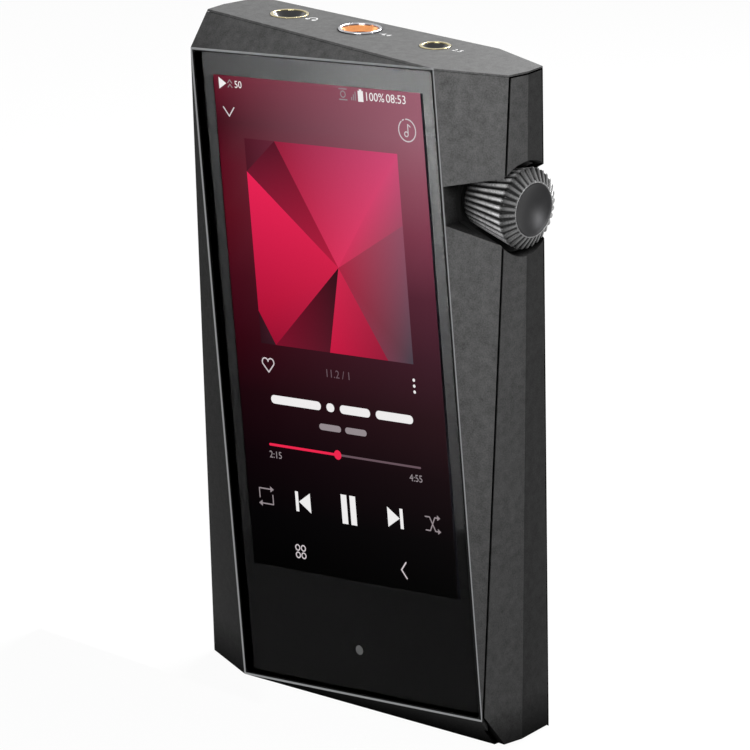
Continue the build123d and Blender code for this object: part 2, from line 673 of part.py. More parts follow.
with BuildPart() as usb_tongue:
    block((-3.35, 3.35), (USB_DEPTH - 0.35, USB_DEPTH + 0.35), (1.0, 6.3))
    block((-3.3, 3.3), (USB_DEPTH - 1.3, USB_DEPTH + 1.3), (6.2, USB_END_Z - 0.22))
keep(usb_tongue.part, "usb_tongue")

USB_BOARD_DEPTH = (9.7, 10.5)
with BuildPart() as usb_board:
    block((-11.0, 11.0), USB_BOARD_DEPTH, (2.4, 13.2))
keep(usb_board.part, "usb_board")

with BuildPart() as usb_flex:
    block((5.5, 10.0), (USB_BOARD_DEPTH[0] - FLEX, USB_BOARD_DEPTH[0]), (9.5, 12.8))
    block((5.5, 10.0), (8.0, USB_BOARD_DEPTH[0]), (12.8 - FLEX, 12.8))
    block((5.5, 10.0), (8.0, 8.0 + FLEX), (12.8 - FLEX, 33.0))
keep(usb_flex.part, "usb_flex")

# ---------------------------------------------------------------- memory card reader
# A folded steel shell whose mouth faces the slot in the left rail. Inside it, a sprung slider
# latches the card and lets it go again when the card is pushed.
READER_X = (-28.0, -13.2)
READER_DEPTH = (6.35, 7.95)
READER_Z = (14.9, 29.1)
READER_SHEET = 0.2
with BuildPart() as card_reader:
    block(READER_X, READER_DEPTH, READER_Z)
    block(
        (READER_X[0] - 1, READER_X[1] - READER_SHEET),
        (READER_DEPTH[0] + READER_SHEET, READER_DEPTH[1] - READER_SHEET),
        (READER_Z[0] + READER_SHEET, READER_Z[1] - READER_SHEET),
        mode=Mode.SUBTRACT,
    )
keep(card_reader.part, "card_reader")

SLIDER_GAP = 0.08
slider_inset = READER_SHEET + SLIDER_GAP
with BuildPart() as card_slider:
    slider_depth = (READER_DEPTH[0] + slider_inset, READER_DEPTH[1] - slider_inset)
    block((-18.0, -14.6), slider_depth, (15.4, 19.0))
    block((-16.0, -14.6), slider_depth, (19.0, 27.6))
keep(card_slider.part, "card_slider")

# ---------------------------------------------------------------- playback buttons
# Each button has a rounded head in the left rail, a flange that the rail holds in and a stem
# that enters the well of its switch. The switches share one board.
BUTTON_OUT_X = -32.35
FLANGE_X = (BUTTON_POCKET_X + 0.05, BUTTON_POCKET_X + 0.05 + BUTTON_FLANGE)
SWITCH_X = (-27.7, -26.7)
STEM_END_X = -27.2
STEM_R = 0.75


def side_peg(x, depth, z, radius, mode=Mode.ADD):
    """A round peg along X between two X limits."""
    with BuildSketch(side_plane(x[0])) as section:
        with Locations((y_of(depth), z)):
            Circle(radius)
    extrude(section.sketch, amount=x[1] - x[0], mode=mode)


for name, z in BUTTONS:
    at = (y_of(BUTTON_DEPTH), z)
    with BuildPart() as button:
        head = stadium(side_plane(BUTTON_OUT_X), BUTTON_LENGTH, BUTTON_WIDTH, at, 90)
        extrude(head, amount=FLANGE_X[0] - BUTTON_OUT_X)
        fillet(button.faces().sort_by(Axis.X)[0].edges(), 0.35)
        flange = stadium(side_plane(FLANGE_X[0]), BUTTON_LENGTH + 1.3, BUTTON_WIDTH + 1.3, at, 90)
        extrude(flange, amount=BUTTON_FLANGE)
        side_peg((FLANGE_X[1], STEM_END_X), BUTTON_DEPTH, z, STEM_R)
    keep(button.part, f"button_{name}")

with BuildPart() as button_switches:
    for name, z in BUTTONS:
        block(SWITCH_X, (BUTTON_DEPTH - 1.5, BUTTON_DEPTH + 1.5), (z - 1.75, z + 1.75))
        side_peg((SWITCH_X[0] - 1, SWITCH_X[1] - 0.2), BUTTON_DEPTH, z, STEM_R + 0.1, mode=Mode.SUBTRACT)
keep(button_switches.part, "button_switches")

with BuildPart() as button_board:
    block((SWITCH_X[1], SWITCH_X[1] + 0.6), (6.4, 11.0), (47.8, 84.5))
keep(button_board.part, "button_board")

# ---------------------------------------------------------------- volume wheel
# Liner: the dark cup that forms the recess, with the bearing tube behind its floor, a groove
# for the light ring and four windows for the lamps.
TUBE_X = 15.6
TUBE_R = 3.6
LIGHT_RING_R = (3.9, 4.9)
LIGHT_RING = 0.6
LAMPS = 4
LAMP_R = 0.45
LAMP_CIRCLE_R = 4.4

with BuildPart() as wheel_well:
    add(well_blank(WELL_WALL, WELL_IN_X, WELL_OUT_X, WELL_SKIN))
    ring(0, TUBE_R, TUBE_X, WELL_IN_X - TUBE_X)
    add(recess_cut.part, mode=Mode.SUBTRACT)
    ring(0, CARRIER_R, TUBE_X - 1, WELL_FLOOR_X - TUBE_X + 2, mode=Mode.SUBTRACT)
    ring(*LIGHT_RING_R, WELL_FLOOR_X - LIGHT_RING, 1, mode=Mode.SUBTRACT)
    with BuildSketch(wheel_plane(WELL_IN_X - 0.1)) as windows:
        with PolarLocations(LAMP_CIRCLE_R, LAMPS):
            Circle(LAMP_R + 0.1)
    extrude(windows.sketch, amount=1, mode=Mode.SUBTRACT)
keep(wheel_well.part, "wheel_well")

with BuildPart() as light_ring:
    ring(LIGHT_RING_R[0] + 0.03, LIGHT_RING_R[1] - 0.03, WELL_FLOOR_X - LIGHT_RING, LIGHT_RING)
keep(light_ring.part, "light_ring")

LAMP_BOARD_X = 19.8
with BuildPart() as lamp_board:
    ring(TUBE_R + 0.15, 5.4, LAMP_BOARD_X, 0.7)
keep(lamp_board.part, "lamp_board")

with BuildPart() as lamps:
    with BuildSketch(wheel_plane(LAMP_BOARD_X + 0.7)) as lamp_ring:
        with PolarLocations(LAMP_CIRCLE_R, LAMPS):
            Circle(LAMP_R)
    extrude(lamp_ring.sketch, amount=0.5)
keep(lamps.part, "lamps")

# Carrier: the sleeve that the wheel's shaft turns in. It slides in the bearing tube when the
# wheel is pressed, and its arm pushes the power switch, whose spring brings the wheel back.
FLANGE_IN_X = 14.9
CARRIER_END_X = WELL_FLOOR_X - 0.9
ARM_Z = WHEEL_Z - 5.4
with BuildPart() as wheel_carrier:
    ring(0, CARRIER_R - RUNNING, FLANGE_IN_X, CARRIER_END_X - FLANGE_IN_X)
    ring(0, TUBE_R, FLANGE_IN_X, TUBE_X - 0.05 - FLANGE_IN_X)
    block((FLANGE_IN_X, TUBE_X - 0.05), (WHEEL_DEPTH - 1.2, WHEEL_DEPTH + 1.2), (ARM_Z - 1.2, WHEEL_Z))
    ring(0, SHAFT_R + RUNNING, FLANGE_IN_X - 1, CARRIER_END_X - FLANGE_IN_X + 2, mode=Mode.SUBTRACT)
keep(wheel_carrier.part, "wheel_carrier")

POWER_SWITCH_X = (10.4, 12.4)
with BuildPart() as power_plunger:
    side_peg((POWER_SWITCH_X[1] - 0.5, FLANGE_IN_X), WHEEL_DEPTH, ARM_Z, STEM_R)
keep(power_plunger.part, "power_plunger")

with BuildPart() as power_switch:
    block(POWER_SWITCH_X, (WHEEL_DEPTH - 2, WHEEL_DEPTH + 2), (ARM_Z - 1.4, ARM_Z + 1.4))
    plunger_well = (POWER_SWITCH_X[1] - 0.9, POWER_SWITCH_X[1] + 1)
    side_peg(plunger_well, WHEEL_DEPTH, ARM_Z, STEM_R + 0.1, mode=Mode.SUBTRACT)
keep(power_switch.part, "power_switch")

with BuildPart() as wheel_board:
    block((POWER_SWITCH_X[0] - 0.8, POWER_SWITCH_X[0]), (6.6, 13.4), (79.6, 91.2))
keep(wheel_board.part, "wheel_board")

with BuildPart() as turn_sensor:
    sensor_x = (POWER_SWITCH_X[0], POWER_SWITCH_X[0] + 1)
    block(sensor_x, (WHEEL_DEPTH - 1.8, WHEEL_DEPTH + 1.8), (WHEEL_Z - 1.8, WHEEL_Z + 1.8))
keep(turn_sensor.part, "turn_sensor")

# Shaft: a steel pin pressed into the wheel, held in the carrier by a clip in its groove, with a
# magnet on its inner end that the turn sensor reads.
MAGNET_X = (12.2, 13.6)
CLIP_X = (14.4, 14.8)
HUB_X = CARRIER_END_X + 0.1
SHAFT_END_X = 30.9
GROOVE_R = 1.15
with BuildPart() as wheel_shaft:
    ring(0, SHAFT_R, MAGNET_X[1], SHAFT_END_X - MAGNET_X[1])
    ring(GROOVE_R, SHAFT_R + 1, CLIP_X[0], CLIP_X[1] - CLIP_X[0], mode=Mode.SUBTRACT)
    chamfer(wheel_shaft.edges().filter_by(GeomType.CIRCLE).sort_by(Axis.X)[-1], 0.2)
keep(wheel_shaft.part, "wheel_shaft")

with BuildPart() as shaft_clip:
    ring(GROOVE_R + 0.02, 2.3, CLIP_X[0] + 0.03, CLIP_X[1] - CLIP_X[0] - 0.06)
    block(CLIP_X, (WHEEL_DEPTH - 0.8, WHEEL_DEPTH + 0.8), (WHEEL_Z, WHEEL_Z + 3), mode=Mode.SUBTRACT)
keep(shaft_clip.part, "shaft_clip")

with BuildPart() as shaft_magnet:
    ring(0, 2.4, MAGNET_X[0], MAGNET_X[1] - MAGNET_X[0])
keep(shaft_magnet.part, "shaft_magnet")

# Wheel: a turned cone with a bevelled outer end, cut with flutes along the cone and over the
# bevel, and a hub that the shaft is pressed into.
CAP_SEAT_X = WHEEL_OUT_X - 1.5
CAP_R = DISH_R + 0.02
LIP_R = 4.45
wheel_form = [
    (HUB_X, SHAFT_R + 0.01),
    (HUB_X, 2.4),
    (WHEEL_IN_X, 2.4),
    (WHEEL_IN_X, WHEEL_SMALL_R - 0.2),
    (WHEEL_IN_X + 0.2, WHEEL_SMALL_R),
    (WHEEL_RIM_X, WHEEL_LARGE_R),
    (WHEEL_OUT_X - 0.08, LIP_R),
    (WHEEL_OUT_X, LIP_R - 0.08),
    (WHEEL_OUT_X, CAP_R),
    (CAP_SEAT_X, CAP_R),
    (CAP_SEAT_X, SHAFT_R + 0.01),
]
FLUTE_IN = (0.34, 0.42)  # half width and depth of a flute at the cone's small end
FLUTE_RIM = (0.50, 0.72)  # at its large end
FLUTE_FACE = (0.20, 0.16)  # and where it runs out on the bevel


def flute_section(x, radius, size):
    """A flute's three-cornered section across the wheel's axis, standing above the surface."""
    half, depth = size
    points = [(0, radius - depth), (half * 1.5, radius + depth * 0.5), (-half * 1.5, radius + depth * 0.5)]
    return profile(wheel_plane(x), points)


with BuildPart() as flute:
    loft([
        flute_section(WHEEL_IN_X - 0.3, WHEEL_SMALL_R - 0.07, FLUTE_IN),
        flute_section(WHEEL_RIM_X, WHEEL_LARGE_R, FLUTE_RIM),
    ], ruled=True)
    loft([
        flute_section(WHEEL_RIM_X, WHEEL_LARGE_R, FLUTE_RIM),
        flute_section(WHEEL_OUT_X - 0.08, LIP_R + 0.1, FLUTE_FACE),
    ], ruled=True)

with BuildPart() as volume_wheel:
    revolve(profile(WHEEL_SECTION, wheel_form), axis=WHEEL_AXIS)
    for i in range(WHEEL_FLUTES):
        add(flute.part.rotate(WHEEL_AXIS, 360 * i / WHEEL_FLUTES), mode=Mode.SUBTRACT)
keep(volume_wheel.part, "volume_wheel")

# Cap: a dished disc pressed into the wheel's outer end.
DISH_SAG = 0.85
DISH_EDGE = 0.12
DISH_BALL_R = ((DISH_R - DISH_EDGE) ** 2 + DISH_SAG**2) / (2 * DISH_SAG)
with BuildPart() as wheel_cap:
    ring(0, DISH_R, CAP_SEAT_X, WHEEL_OUT_X - 0.03 - CAP_SEAT_X)
    with Locations((WHEEL_OUT_X - 0.03 - DISH_SAG + DISH_BALL_R, WHEEL_Y, WHEEL_Z)):
        Sphere(DISH_BALL_R, mode=Mode.SUBTRACT)
keep(wheel_cap.part, "wheel_cap")
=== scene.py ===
from math import cos, pi, radians, sin, sqrt

import bmesh
import bpy
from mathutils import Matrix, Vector


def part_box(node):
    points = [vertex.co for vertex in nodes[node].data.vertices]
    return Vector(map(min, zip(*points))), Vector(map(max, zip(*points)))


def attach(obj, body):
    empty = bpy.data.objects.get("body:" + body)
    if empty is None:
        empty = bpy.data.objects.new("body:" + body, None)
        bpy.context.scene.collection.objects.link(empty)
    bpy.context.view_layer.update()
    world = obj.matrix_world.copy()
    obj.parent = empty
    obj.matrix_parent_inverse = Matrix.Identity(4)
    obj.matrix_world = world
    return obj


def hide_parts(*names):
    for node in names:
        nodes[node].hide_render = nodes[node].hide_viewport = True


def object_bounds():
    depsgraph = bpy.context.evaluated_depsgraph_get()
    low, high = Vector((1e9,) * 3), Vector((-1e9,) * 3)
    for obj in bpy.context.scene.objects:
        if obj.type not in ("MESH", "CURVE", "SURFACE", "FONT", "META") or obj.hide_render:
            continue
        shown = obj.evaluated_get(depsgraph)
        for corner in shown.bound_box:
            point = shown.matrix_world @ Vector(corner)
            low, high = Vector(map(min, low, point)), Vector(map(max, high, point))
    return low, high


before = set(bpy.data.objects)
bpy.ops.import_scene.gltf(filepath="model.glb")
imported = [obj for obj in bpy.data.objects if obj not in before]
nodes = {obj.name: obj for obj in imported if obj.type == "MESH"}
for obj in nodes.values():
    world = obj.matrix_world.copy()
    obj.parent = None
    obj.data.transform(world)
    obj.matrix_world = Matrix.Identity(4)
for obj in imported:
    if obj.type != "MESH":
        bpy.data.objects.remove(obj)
cad_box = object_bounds()
MM = 0.001

# ---------------------------------------------------------------- case
# A faceted aluminium body, top plate and side rails: machined, bead-blasted and anodised a dark
# warm grey. The narrow front rim round the glass is cut with a diamond tool after anodising, so
# it is brighter and smoother than the rest.


def new_material(name):
    """A node material with its Principled shader, ready to be linked."""
    material = bpy.data.materials.new(name)
    material.use_nodes = True
    shader = material.node_tree.nodes["Principled BSDF"]
    return material, material.node_tree, shader


def add_node(tree, kind, **settings):
    """A new node of a tree, with the given settings."""
    node = tree.nodes.new(kind)
    for key, value in settings.items():
        setattr(node, key, value)
    return node


def math_node(tree, operation, first, second=None, clamp=False):
    """A Math node whose inputs are numbers or sockets."""
    node = add_node(tree, "ShaderNodeMath", operation=operation, use_clamp=clamp)
    for socket, value in zip(node.inputs, (first, second)):
        if value is None:
            continue
        if isinstance(value, (int, float)):
            socket.default_value = value
        else:
            tree.links.new(value, socket)
    return node.outputs[0]


def place_coordinates(tree):
    """The point on the object in the player's own frame, in metres."""
    return add_node(tree, "ShaderNodeTexCoord").outputs["Object"]


def new_group(name, numbers, colours, outputs):
    """An effect group with float and colour inputs and (name, socket type) outputs."""
    group = bpy.data.node_groups.new(name, "ShaderNodeTree")
    for label, value in numbers.items():
        socket = group.interface.new_socket(label, in_out="INPUT", socket_type="NodeSocketFloat")
        socket.default_value = value
    for label, value in colours.items():
        socket = group.interface.new_socket(label, in_out="INPUT", socket_type="NodeSocketColor")
        socket.default_value = (*value, 1.0)
    for label, kind in outputs.items():
        group.interface.new_socket(label, in_out="OUTPUT", socket_type=kind)
    return group, group.nodes.new("NodeGroupInput"), group.nodes.new("NodeGroupOutput")


def use_group(tree, group, **values):
    """Places an effect group in a material with its own numbers and colours."""
    node = add_node(tree, "ShaderNodeGroup", node_tree=group)
    for label, value in values.items():
        socket = node.inputs[label.replace("_", " ")]
        if isinstance(value, tuple):
            socket.default_value = (*value, 1.0)
        else:
            socket.default_value = value
    return node


# Mottle: two sizes of soft grain that shift a colour and a roughness, and a height for a bump.
mottle, mottle_in, mottle_out = new_group(
    "mottle",
    {"Grain per mm": 4.0, "Tone shift": 0.2, "Roughness": 0.5, "Roughness shift": 0.1},
    {"Colour": (0.1, 0.1, 0.1)},
    {"Colour": "NodeSocketColor", "Roughness": "NodeSocketFloat", "Height": "NodeSocketFloat"},
)
place = place_coordinates(mottle)
fine_scale = math_node(mottle, "MULTIPLY", mottle_in.outputs["Grain per mm"], 1000.0)
fine = add_node(mottle, "ShaderNodeTexNoise")
fine.inputs["Detail"].default_value = 3.0
broad_scale = math_node(mottle, "MULTIPLY", fine_scale, 0.16)
broad = add_node(mottle, "ShaderNodeTexNoise")
mottle.links.new(place, fine.inputs["Vector"])
mottle.links.new(fine_scale, fine.inputs["Scale"])
mottle.links.new(place, broad.inputs["Vector"])
mottle.links.new(broad_scale, broad.inputs["Scale"])
fine_part = math_node(mottle, "SUBTRACT", fine.outputs["Fac"], 0.5)
broad_part = math_node(mottle, "SUBTRACT", broad.outputs["Fac"], 0.5)
grain = math_node(mottle, "ADD", math_node(mottle, "MULTIPLY", fine_part, 1.3), broad_part)
tone = math_node(mottle, "MULTIPLY", grain, mottle_in.outputs["Tone shift"])
tone = math_node(mottle, "ADD", tone, 1.0)
tinted = add_node(mottle, "ShaderNodeVectorMath", operation="SCALE")
mottle.links.new(mottle_in.outputs["Colour"], tinted.inputs[0])
mottle.links.new(tone, tinted.inputs["Scale"])
rough = math_node(mottle, "MULTIPLY", grain, mottle_in.outputs["Roughness shift"])
rough = math_node(mottle, "ADD", rough, mottle_in.outputs["Roughness"], clamp=True)
mottle.links.new(tinted.outputs[0], mottle_out.inputs["Colour"])
mottle.links.new(rough, mottle_out.inputs["Roughness"])
mottle.links.new(fine.outputs["Fac"], mottle_out.inputs["Height"])


def bumped(tree, shader, height, depth_mm, strength=1.0):
    """Feeds a height through a bump whose full depth is in millimetres."""
    bump = add_node(tree, "ShaderNodeBump")
    bump.inputs["Strength"].default_value = strength
    bump.inputs["Distance"].default_value = depth_mm * MM
    tree.links.new(height, bump.inputs["Height"])
    tree.links.new(bump.outputs["Normal"], shader.inputs["Normal"])


def mottled(name, colour, roughness, metallic=0.0, grain=4.0, tone=0.2, spread=0.1, depth=0.004,
            specular=0.5):
    """A finish that varies softly in tone, roughness and height."""
    material, tree, shader = new_material(name)
    group = use_group(tree, mottle, Colour=colour, Roughness=roughness, Grain_per_mm=grain,
                      Tone_shift=tone, Roughness_shift=spread)
    tree.links.new(group.outputs["Colour"], shader.inputs["Base Color"])
    tree.links.new(group.outputs["Roughness"], shader.inputs["Roughness"])
    shader.inputs["Metallic"].default_value = metallic
    shader.inputs["Specular IOR Level"].default_value = specular
    bumped(tree, shader, group.outputs["Height"], depth)
    return material


def dress(material, *names, edge=0.0):
    """Gives CAD pieces their finish, and rounds their edges by a radius in millimetres."""
    for name in names:
        piece = nodes[name]
        for slot in piece.material_slots:
            slot.material = material
        if edge:
            soften(piece, edge)


def soften(piece, edge):
    """Joins the mesh's faces, rounds its corners and shades the flats flat."""
    weld = piece.modifiers.new("join faces", "WELD")
    weld.merge_threshold = 0.001 * MM
    flats = piece.modifiers.new("one face per flat", "DECIMATE")
    flats.decimate_type = "DISSOLVE"
    flats.angle_limit = radians(0.4)
    rounding = piece.modifiers.new("edge rounding", "BEVEL")
    rounding.width = edge * MM
    rounding.segments = 3
    rounding.limit_method = "ANGLE"
    rounding.angle_limit = radians(22)
    shading = piece.modifiers.new("flat shading on flats", "WEIGHTED_NORMAL")
    shading.keep_sharp = False


CASE_GREY = (0.082, 0.082, 0.082)
CASE_GLOSS = 0.035
GROOVE_PAINTED_SHADE = (0.008, 0.008, 0.008)
RIM_GREY = (0.25, 0.255, 0.26)
RIM_ROUGHNESS = 0.3
RIM_CUT = 0.3  # width of the bright cut along the rim's outer edge, in millimetres
# The cut is drawn narrower on the right as painted shade, since that side of the rim catches less
# light.
RIM_CUT_RIGHT_SHADED = 0.12  # the same on the right side
PAINTED_SHADE_REACH = 8  # how far away a wall still shades a hollow, in millimetres
PAINTED_SHADE_POWER = 2.4  # power that deepens that shade
RIDGE_Y = 0.45  # just behind the upright ridge line of the sides, in millimetres
REAR_PAINTED_SHADE = 0.50
SCREEN_TILT = radians(5.95)
case_aluminium, tree, shader = new_material("blasted_aluminium_with_painted_shade")
blast = use_group(tree, mottle, Colour=CASE_GREY, Roughness=0.5, Grain_per_mm=4.5, Tone_shift=0.8,
                  Roughness_shift=0.12)
# Painted shade: ambient occlusion darkens the case's colour in hollows, creases, seams and the
# wheel recess, where shade falls.
hollow_occlusion = add_node(tree, "ShaderNodeAmbientOcclusion", samples=8)
hollow_occlusion.inputs["Distance"].default_value = PAINTED_SHADE_REACH * MM
painted_hollow_shade = math_node(tree, "POWER", hollow_occlusion.outputs["AO"], PAINTED_SHADE_POWER)

# Painted shade: behind the side ridges the colour is darkened, as the rear facets are turned away
# from the light.
front_low, front_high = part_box("housing")
TOUCH = 0.1 * MM
whole = add_node(tree, "ShaderNodeSeparateXYZ")
tree.links.new(place_coordinates(tree), whole.inputs[0])
behind_ridge = math_node(tree, "GREATER_THAN", whole.outputs["Y"], RIDGE_Y * MM)
below_top = math_node(tree, "LESS_THAN", whole.outputs["Z"], front_high.z + TOUCH)
painted_shade_rear_area = math_node(tree, "MULTIPLY", behind_ridge, below_top)
painted_rear_shade = math_node(tree, "MULTIPLY", painted_shade_rear_area, -REAR_PAINTED_SHADE)
shade = math_node(tree, "MULTIPLY", math_node(tree, "ADD", painted_rear_shade, 1.0), painted_hollow_shade)
shaded = add_node(tree, "ShaderNodeVectorMath", operation="SCALE")
tree.links.new(blast.outputs["Colour"], shaded.inputs[0])
tree.links.new(shade, shaded.inputs["Scale"])

# The rim: the band of the front plane that lies just inside the tilted front's outline.
glass_low, glass_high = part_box("cover_glass")
screen_centre = (glass_low + glass_high) / 2
turned = add_node(tree, "ShaderNodeMapping", vector_type="TEXTURE")
turned.inputs["Location"].default_value = screen_centre
turned.inputs["Rotation"].default_value = (0, -SCREEN_TILT, 0)
tree.links.new(place_coordinates(tree), turned.inputs["Vector"])
place = add_node(tree, "ShaderNodeSeparateXYZ")
tree.links.new(turned.outputs["Vector"], place.inputs[0])
FRONT_SIZE = (51.6, 103.51)  # width and height of the tilted front outline
outside = []
for axis, size, cut in zip(("X", "Z"), FRONT_SIZE, (RIM_CUT_RIGHT_SHADED, RIM_CUT)):
    outside.append(math_node(tree, "GREATER_THAN", place.outputs[axis], (size / 2 - cut) * MM))
    outside.append(math_node(tree, "LESS_THAN", place.outputs[axis], (RIM_CUT - size / 2) * MM))
cut_edge = math_node(tree, "MAXIMUM", math_node(tree, "MAXIMUM", outside[0], outside[1]),
                     math_node(tree, "MAXIMUM", outside[2], outside[3]))
# Painted shade: the rest of the flat front plane round the glass is painted near black, standing in
# for the shaded groove between rim and glass.
on_front = math_node(tree, "LESS_THAN", place.outputs["Y"],
                     front_low.y - screen_centre.y + 0.04 * MM)
on_rim = math_node(tree, "MULTIPLY", on_front, cut_edge)
painted_groove_mix = add_node(tree, "ShaderNodeMix", data_type="RGBA")
painted_groove_mix.inputs["B"].default_value = (*GROOVE_PAINTED_SHADE, 1.0)
tree.links.new(on_front, painted_groove_mix.inputs["Factor"])
tree.links.new(shaded.outputs[0], painted_groove_mix.inputs["A"])
rim_mix = add_node(tree, "ShaderNodeMix", data_type="RGBA")
rim_mix.inputs["B"].default_value = (*RIM_GREY, 1.0)
tree.links.new(on_rim, rim_mix.inputs["Factor"])
tree.links.new(painted_groove_mix.outputs["Result"], rim_mix.inputs["A"])
tree.links.new(rim_mix.outputs["Result"], shader.inputs["Base Color"])
rim_rough = add_node(tree, "ShaderNodeMix")
rim_rough.inputs["B"].default_value = RIM_ROUGHNESS
tree.links.new(on_rim, rim_rough.inputs["Factor"])
tree.links.new(blast.outputs["Roughness"], rim_rough.inputs["A"])
tree.links.new(rim_rough.outputs["Result"], shader.inputs["Roughness"])
tree.links.new(on_rim, shader.inputs["Metallic"])
# The gloss is lowered by the same painted shade in the hollows.
case_gloss = math_node(tree, "MULTIPLY", painted_hollow_shade, CASE_GLOSS)
tree.links.new(case_gloss, shader.inputs["Specular IOR Level"])
bumped(tree, shader, blast.outputs["Height"], 0.03, 0.6)
dress(case_aluminium, "housing", "top_plate", "side_rail_left", "side_rail_right_upper",
      "side_rail_right_lower", edge=0.1)

# Rear cover: a flat pane of black-backed glass let into the back, on a ring of black foam tape.
rear_glass = mottled("rear_glass", (0.012, 0.012, 0.014), 0.12, grain=1.5, tone=0.3, spread=0.05,
                     depth=0.0004)
dress(rear_glass, "rear_cover")
dress(mottled("foam_tape", (0.015, 0.015, 0.015), 0.9, grain=8.0, tone=0.6, depth=0.02),
      "cover_adhesive")

# ---------------------------------------------------------------- front glass
# A pane of thin coated glass with ground edges over a black printed border. The coating is so
# good that only the smooth print behind the pane reflects, as a faint sheen.
COATED_IOR = 1.0
cover_glass, tree, shader = new_material("coated_glass")
shader.inputs["Base Color"].default_value = (1.0, 1.0, 1.0, 1.0)
shader.inputs["Transmission Weight"].default_value = 1.0
shader.inputs["IOR"].default_value = COATED_IOR
shader.inputs["Roughness"].default_value = 0.0
dress(cover_glass, "cover_glass")

black_print = mottled("black_print", (0.0003, 0.0003, 0.00033), 0.06, grain=6.0, tone=0.3,
                      spread=0.02, depth=0.0, specular=0.052)
dress(black_print, "glass_mask")

# ---------------------------------------------------------------- display
# The panel stands lit behind the glass. Its picture is a music screen: a status row, a cover
# picture, a title, a progress line and the transport keys, each a thin lit layer on the panel.
# Sizes and (u, v) places on the screen are in millimetres.
PICTURE_WIDTH = 44.1
PICTURE_SHIFT = -0.35
PICTURE_LOW = -33.0
LAYER = 0.02  # spacing of the lit layers
LAYER_THICKNESS = 0.012
panel_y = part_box("display_panel")[0].y
screen_right = Vector((cos(SCREEN_TILT), 0, sin(SCREEN_TILT)))
screen_up = Vector((-sin(SCREEN_TILT), 0, cos(SCREEN_TILT)))


def screen_point(u, v, y):
    """A point of the picture, u to the right and v up from the middle of the glass."""
    point = screen_centre + (screen_right * (u + PICTURE_SHIFT) + screen_up * v) * MM
    point.y = y
    return point


# Lit layer: a colour broken up by the panel's fine rows of picture dots.
lit_dots, dots_in, dots_out = new_group(
    "lit_dots", {"Dots per mm": 16.0, "Contrast": 0.12}, {"Colour": (1.0, 1.0, 1.0)},
    {"Colour": "NodeSocketColor"})
split_place = add_node(lit_dots, "ShaderNodeSeparateXYZ")
lit_dots.links.new(place_coordinates(lit_dots), split_place.inputs[0])
turns = math_node(lit_dots, "MULTIPLY", dots_in.outputs["Dots per mm"], 2000 * pi)
waves = []
for axis in ("X", "Z"):
    phase = math_node(lit_dots, "MULTIPLY", split_place.outputs[axis], turns)
    waves.append(math_node(lit_dots, "SINE", phase))
ripple = math_node(lit_dots, "MULTIPLY", waves[0], waves[1])
level = math_node(lit_dots, "MULTIPLY", ripple, dots_in.outputs["Contrast"])
level = math_node(lit_dots, "ADD", level, 1.0)
lit = add_node(lit_dots, "ShaderNodeVectorMath", operation="SCALE")
lit_dots.links.new(dots_in.outputs["Colour"], lit.inputs[0])
lit_dots.links.new(level, lit.inputs["Scale"])
lit_dots.links.new(lit.outputs[0], dots_out.inputs["Colour"])


def srgb(*channels):
    """A screen colour from its usual 0 to 255 values."""
    return tuple(((c / 255 + 0.055) / 1.055) ** 2.4 if c > 10 else c / 255 / 12.92
                 for c in channels)


def lit_material(name, colour=None):
    """A layer that shines in one colour, or in the colours painted on its corners."""
    material, tree, shader = new_material(name)
    dots = use_group(tree, lit_dots)
    if colour:
        dots.inputs["Colour"].default_value = (*colour, 1.0)
    else:
        painted = add_node(tree, "ShaderNodeVertexColor", layer_name="shade")
        tree.links.new(painted.outputs["Color"], dots.inputs["Colour"])
    tree.links.new(dots.outputs["Colour"], shader.inputs["Emission Color"])
    shader.inputs["Base Color"].default_value = (0.0, 0.0, 0.0, 1.0)
    shader.inputs["Specular IOR Level"].default_value = 0.0
    shader.inputs["Emission Strength"].default_value = 1.0
    return material


def finish_piece(bm, name, material, body="root", smooth=False):
    """Turns a bmesh into a named piece that rides on a body."""
    bmesh.ops.recalc_face_normals(bm, faces=bm.faces)
    mesh = bpy.data.meshes.new(name)
    bm.to_mesh(mesh)
    bm.free()
    for face in mesh.polygons:
        face.use_smooth = smooth
    mesh.materials.append(material)
    piece = bpy.data.objects.new(name, mesh)
    bpy.context.scene.collection.objects.link(piece)
    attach(piece, body)
    return piece


def add_plate(bm, outline, level=2, shades=None):
    """A thin plate on the panel with an outline of (u, v) points. Shades colour its corners."""
    back = panel_y - level * LAYER * MM
    front = back - LAYER_THICKNESS * MM
    rows = [[bm.verts.new(screen_point(u, v, y)) for u, v in outline] for y in (front, back)]
    faces = [bm.faces.new(rows[0]), bm.faces.new(rows[1][::-1])]
    for i in range(len(outline)):
        j = (i + 1) % len(outline)
        faces.append(bm.faces.new((rows[0][i], rows[1][i], rows[1][j], rows[0][j])))
    if shades:
        layers = bm.loops.layers.float_color
        layer = layers.get("shade") or layers.new("shade")
        colour_of = {}
        for row in rows:
            colour_of.update(zip(row, shades))
        for face in faces:
            for loop in face.loops:
                loop[layer] = (*colour_of[loop.vert], 1.0)


def arc_points(u, v, radius, start=0.0, end=360.0, steps=24):
    """Points along an arc about (u, v), in degrees from the right, counterclockwise."""
    angles = [radians(start + (end - start) * i / steps) for i in range(steps + 1)]
    return [(u + radius * cos(a), v + radius * sin(a)) for a in angles]


def add_disc(bm, u, v, radius, level=2, steps=20):
    """A thin round plate."""
    add_plate(bm, arc_points(u, v, radius, steps=steps)[:-1], level)


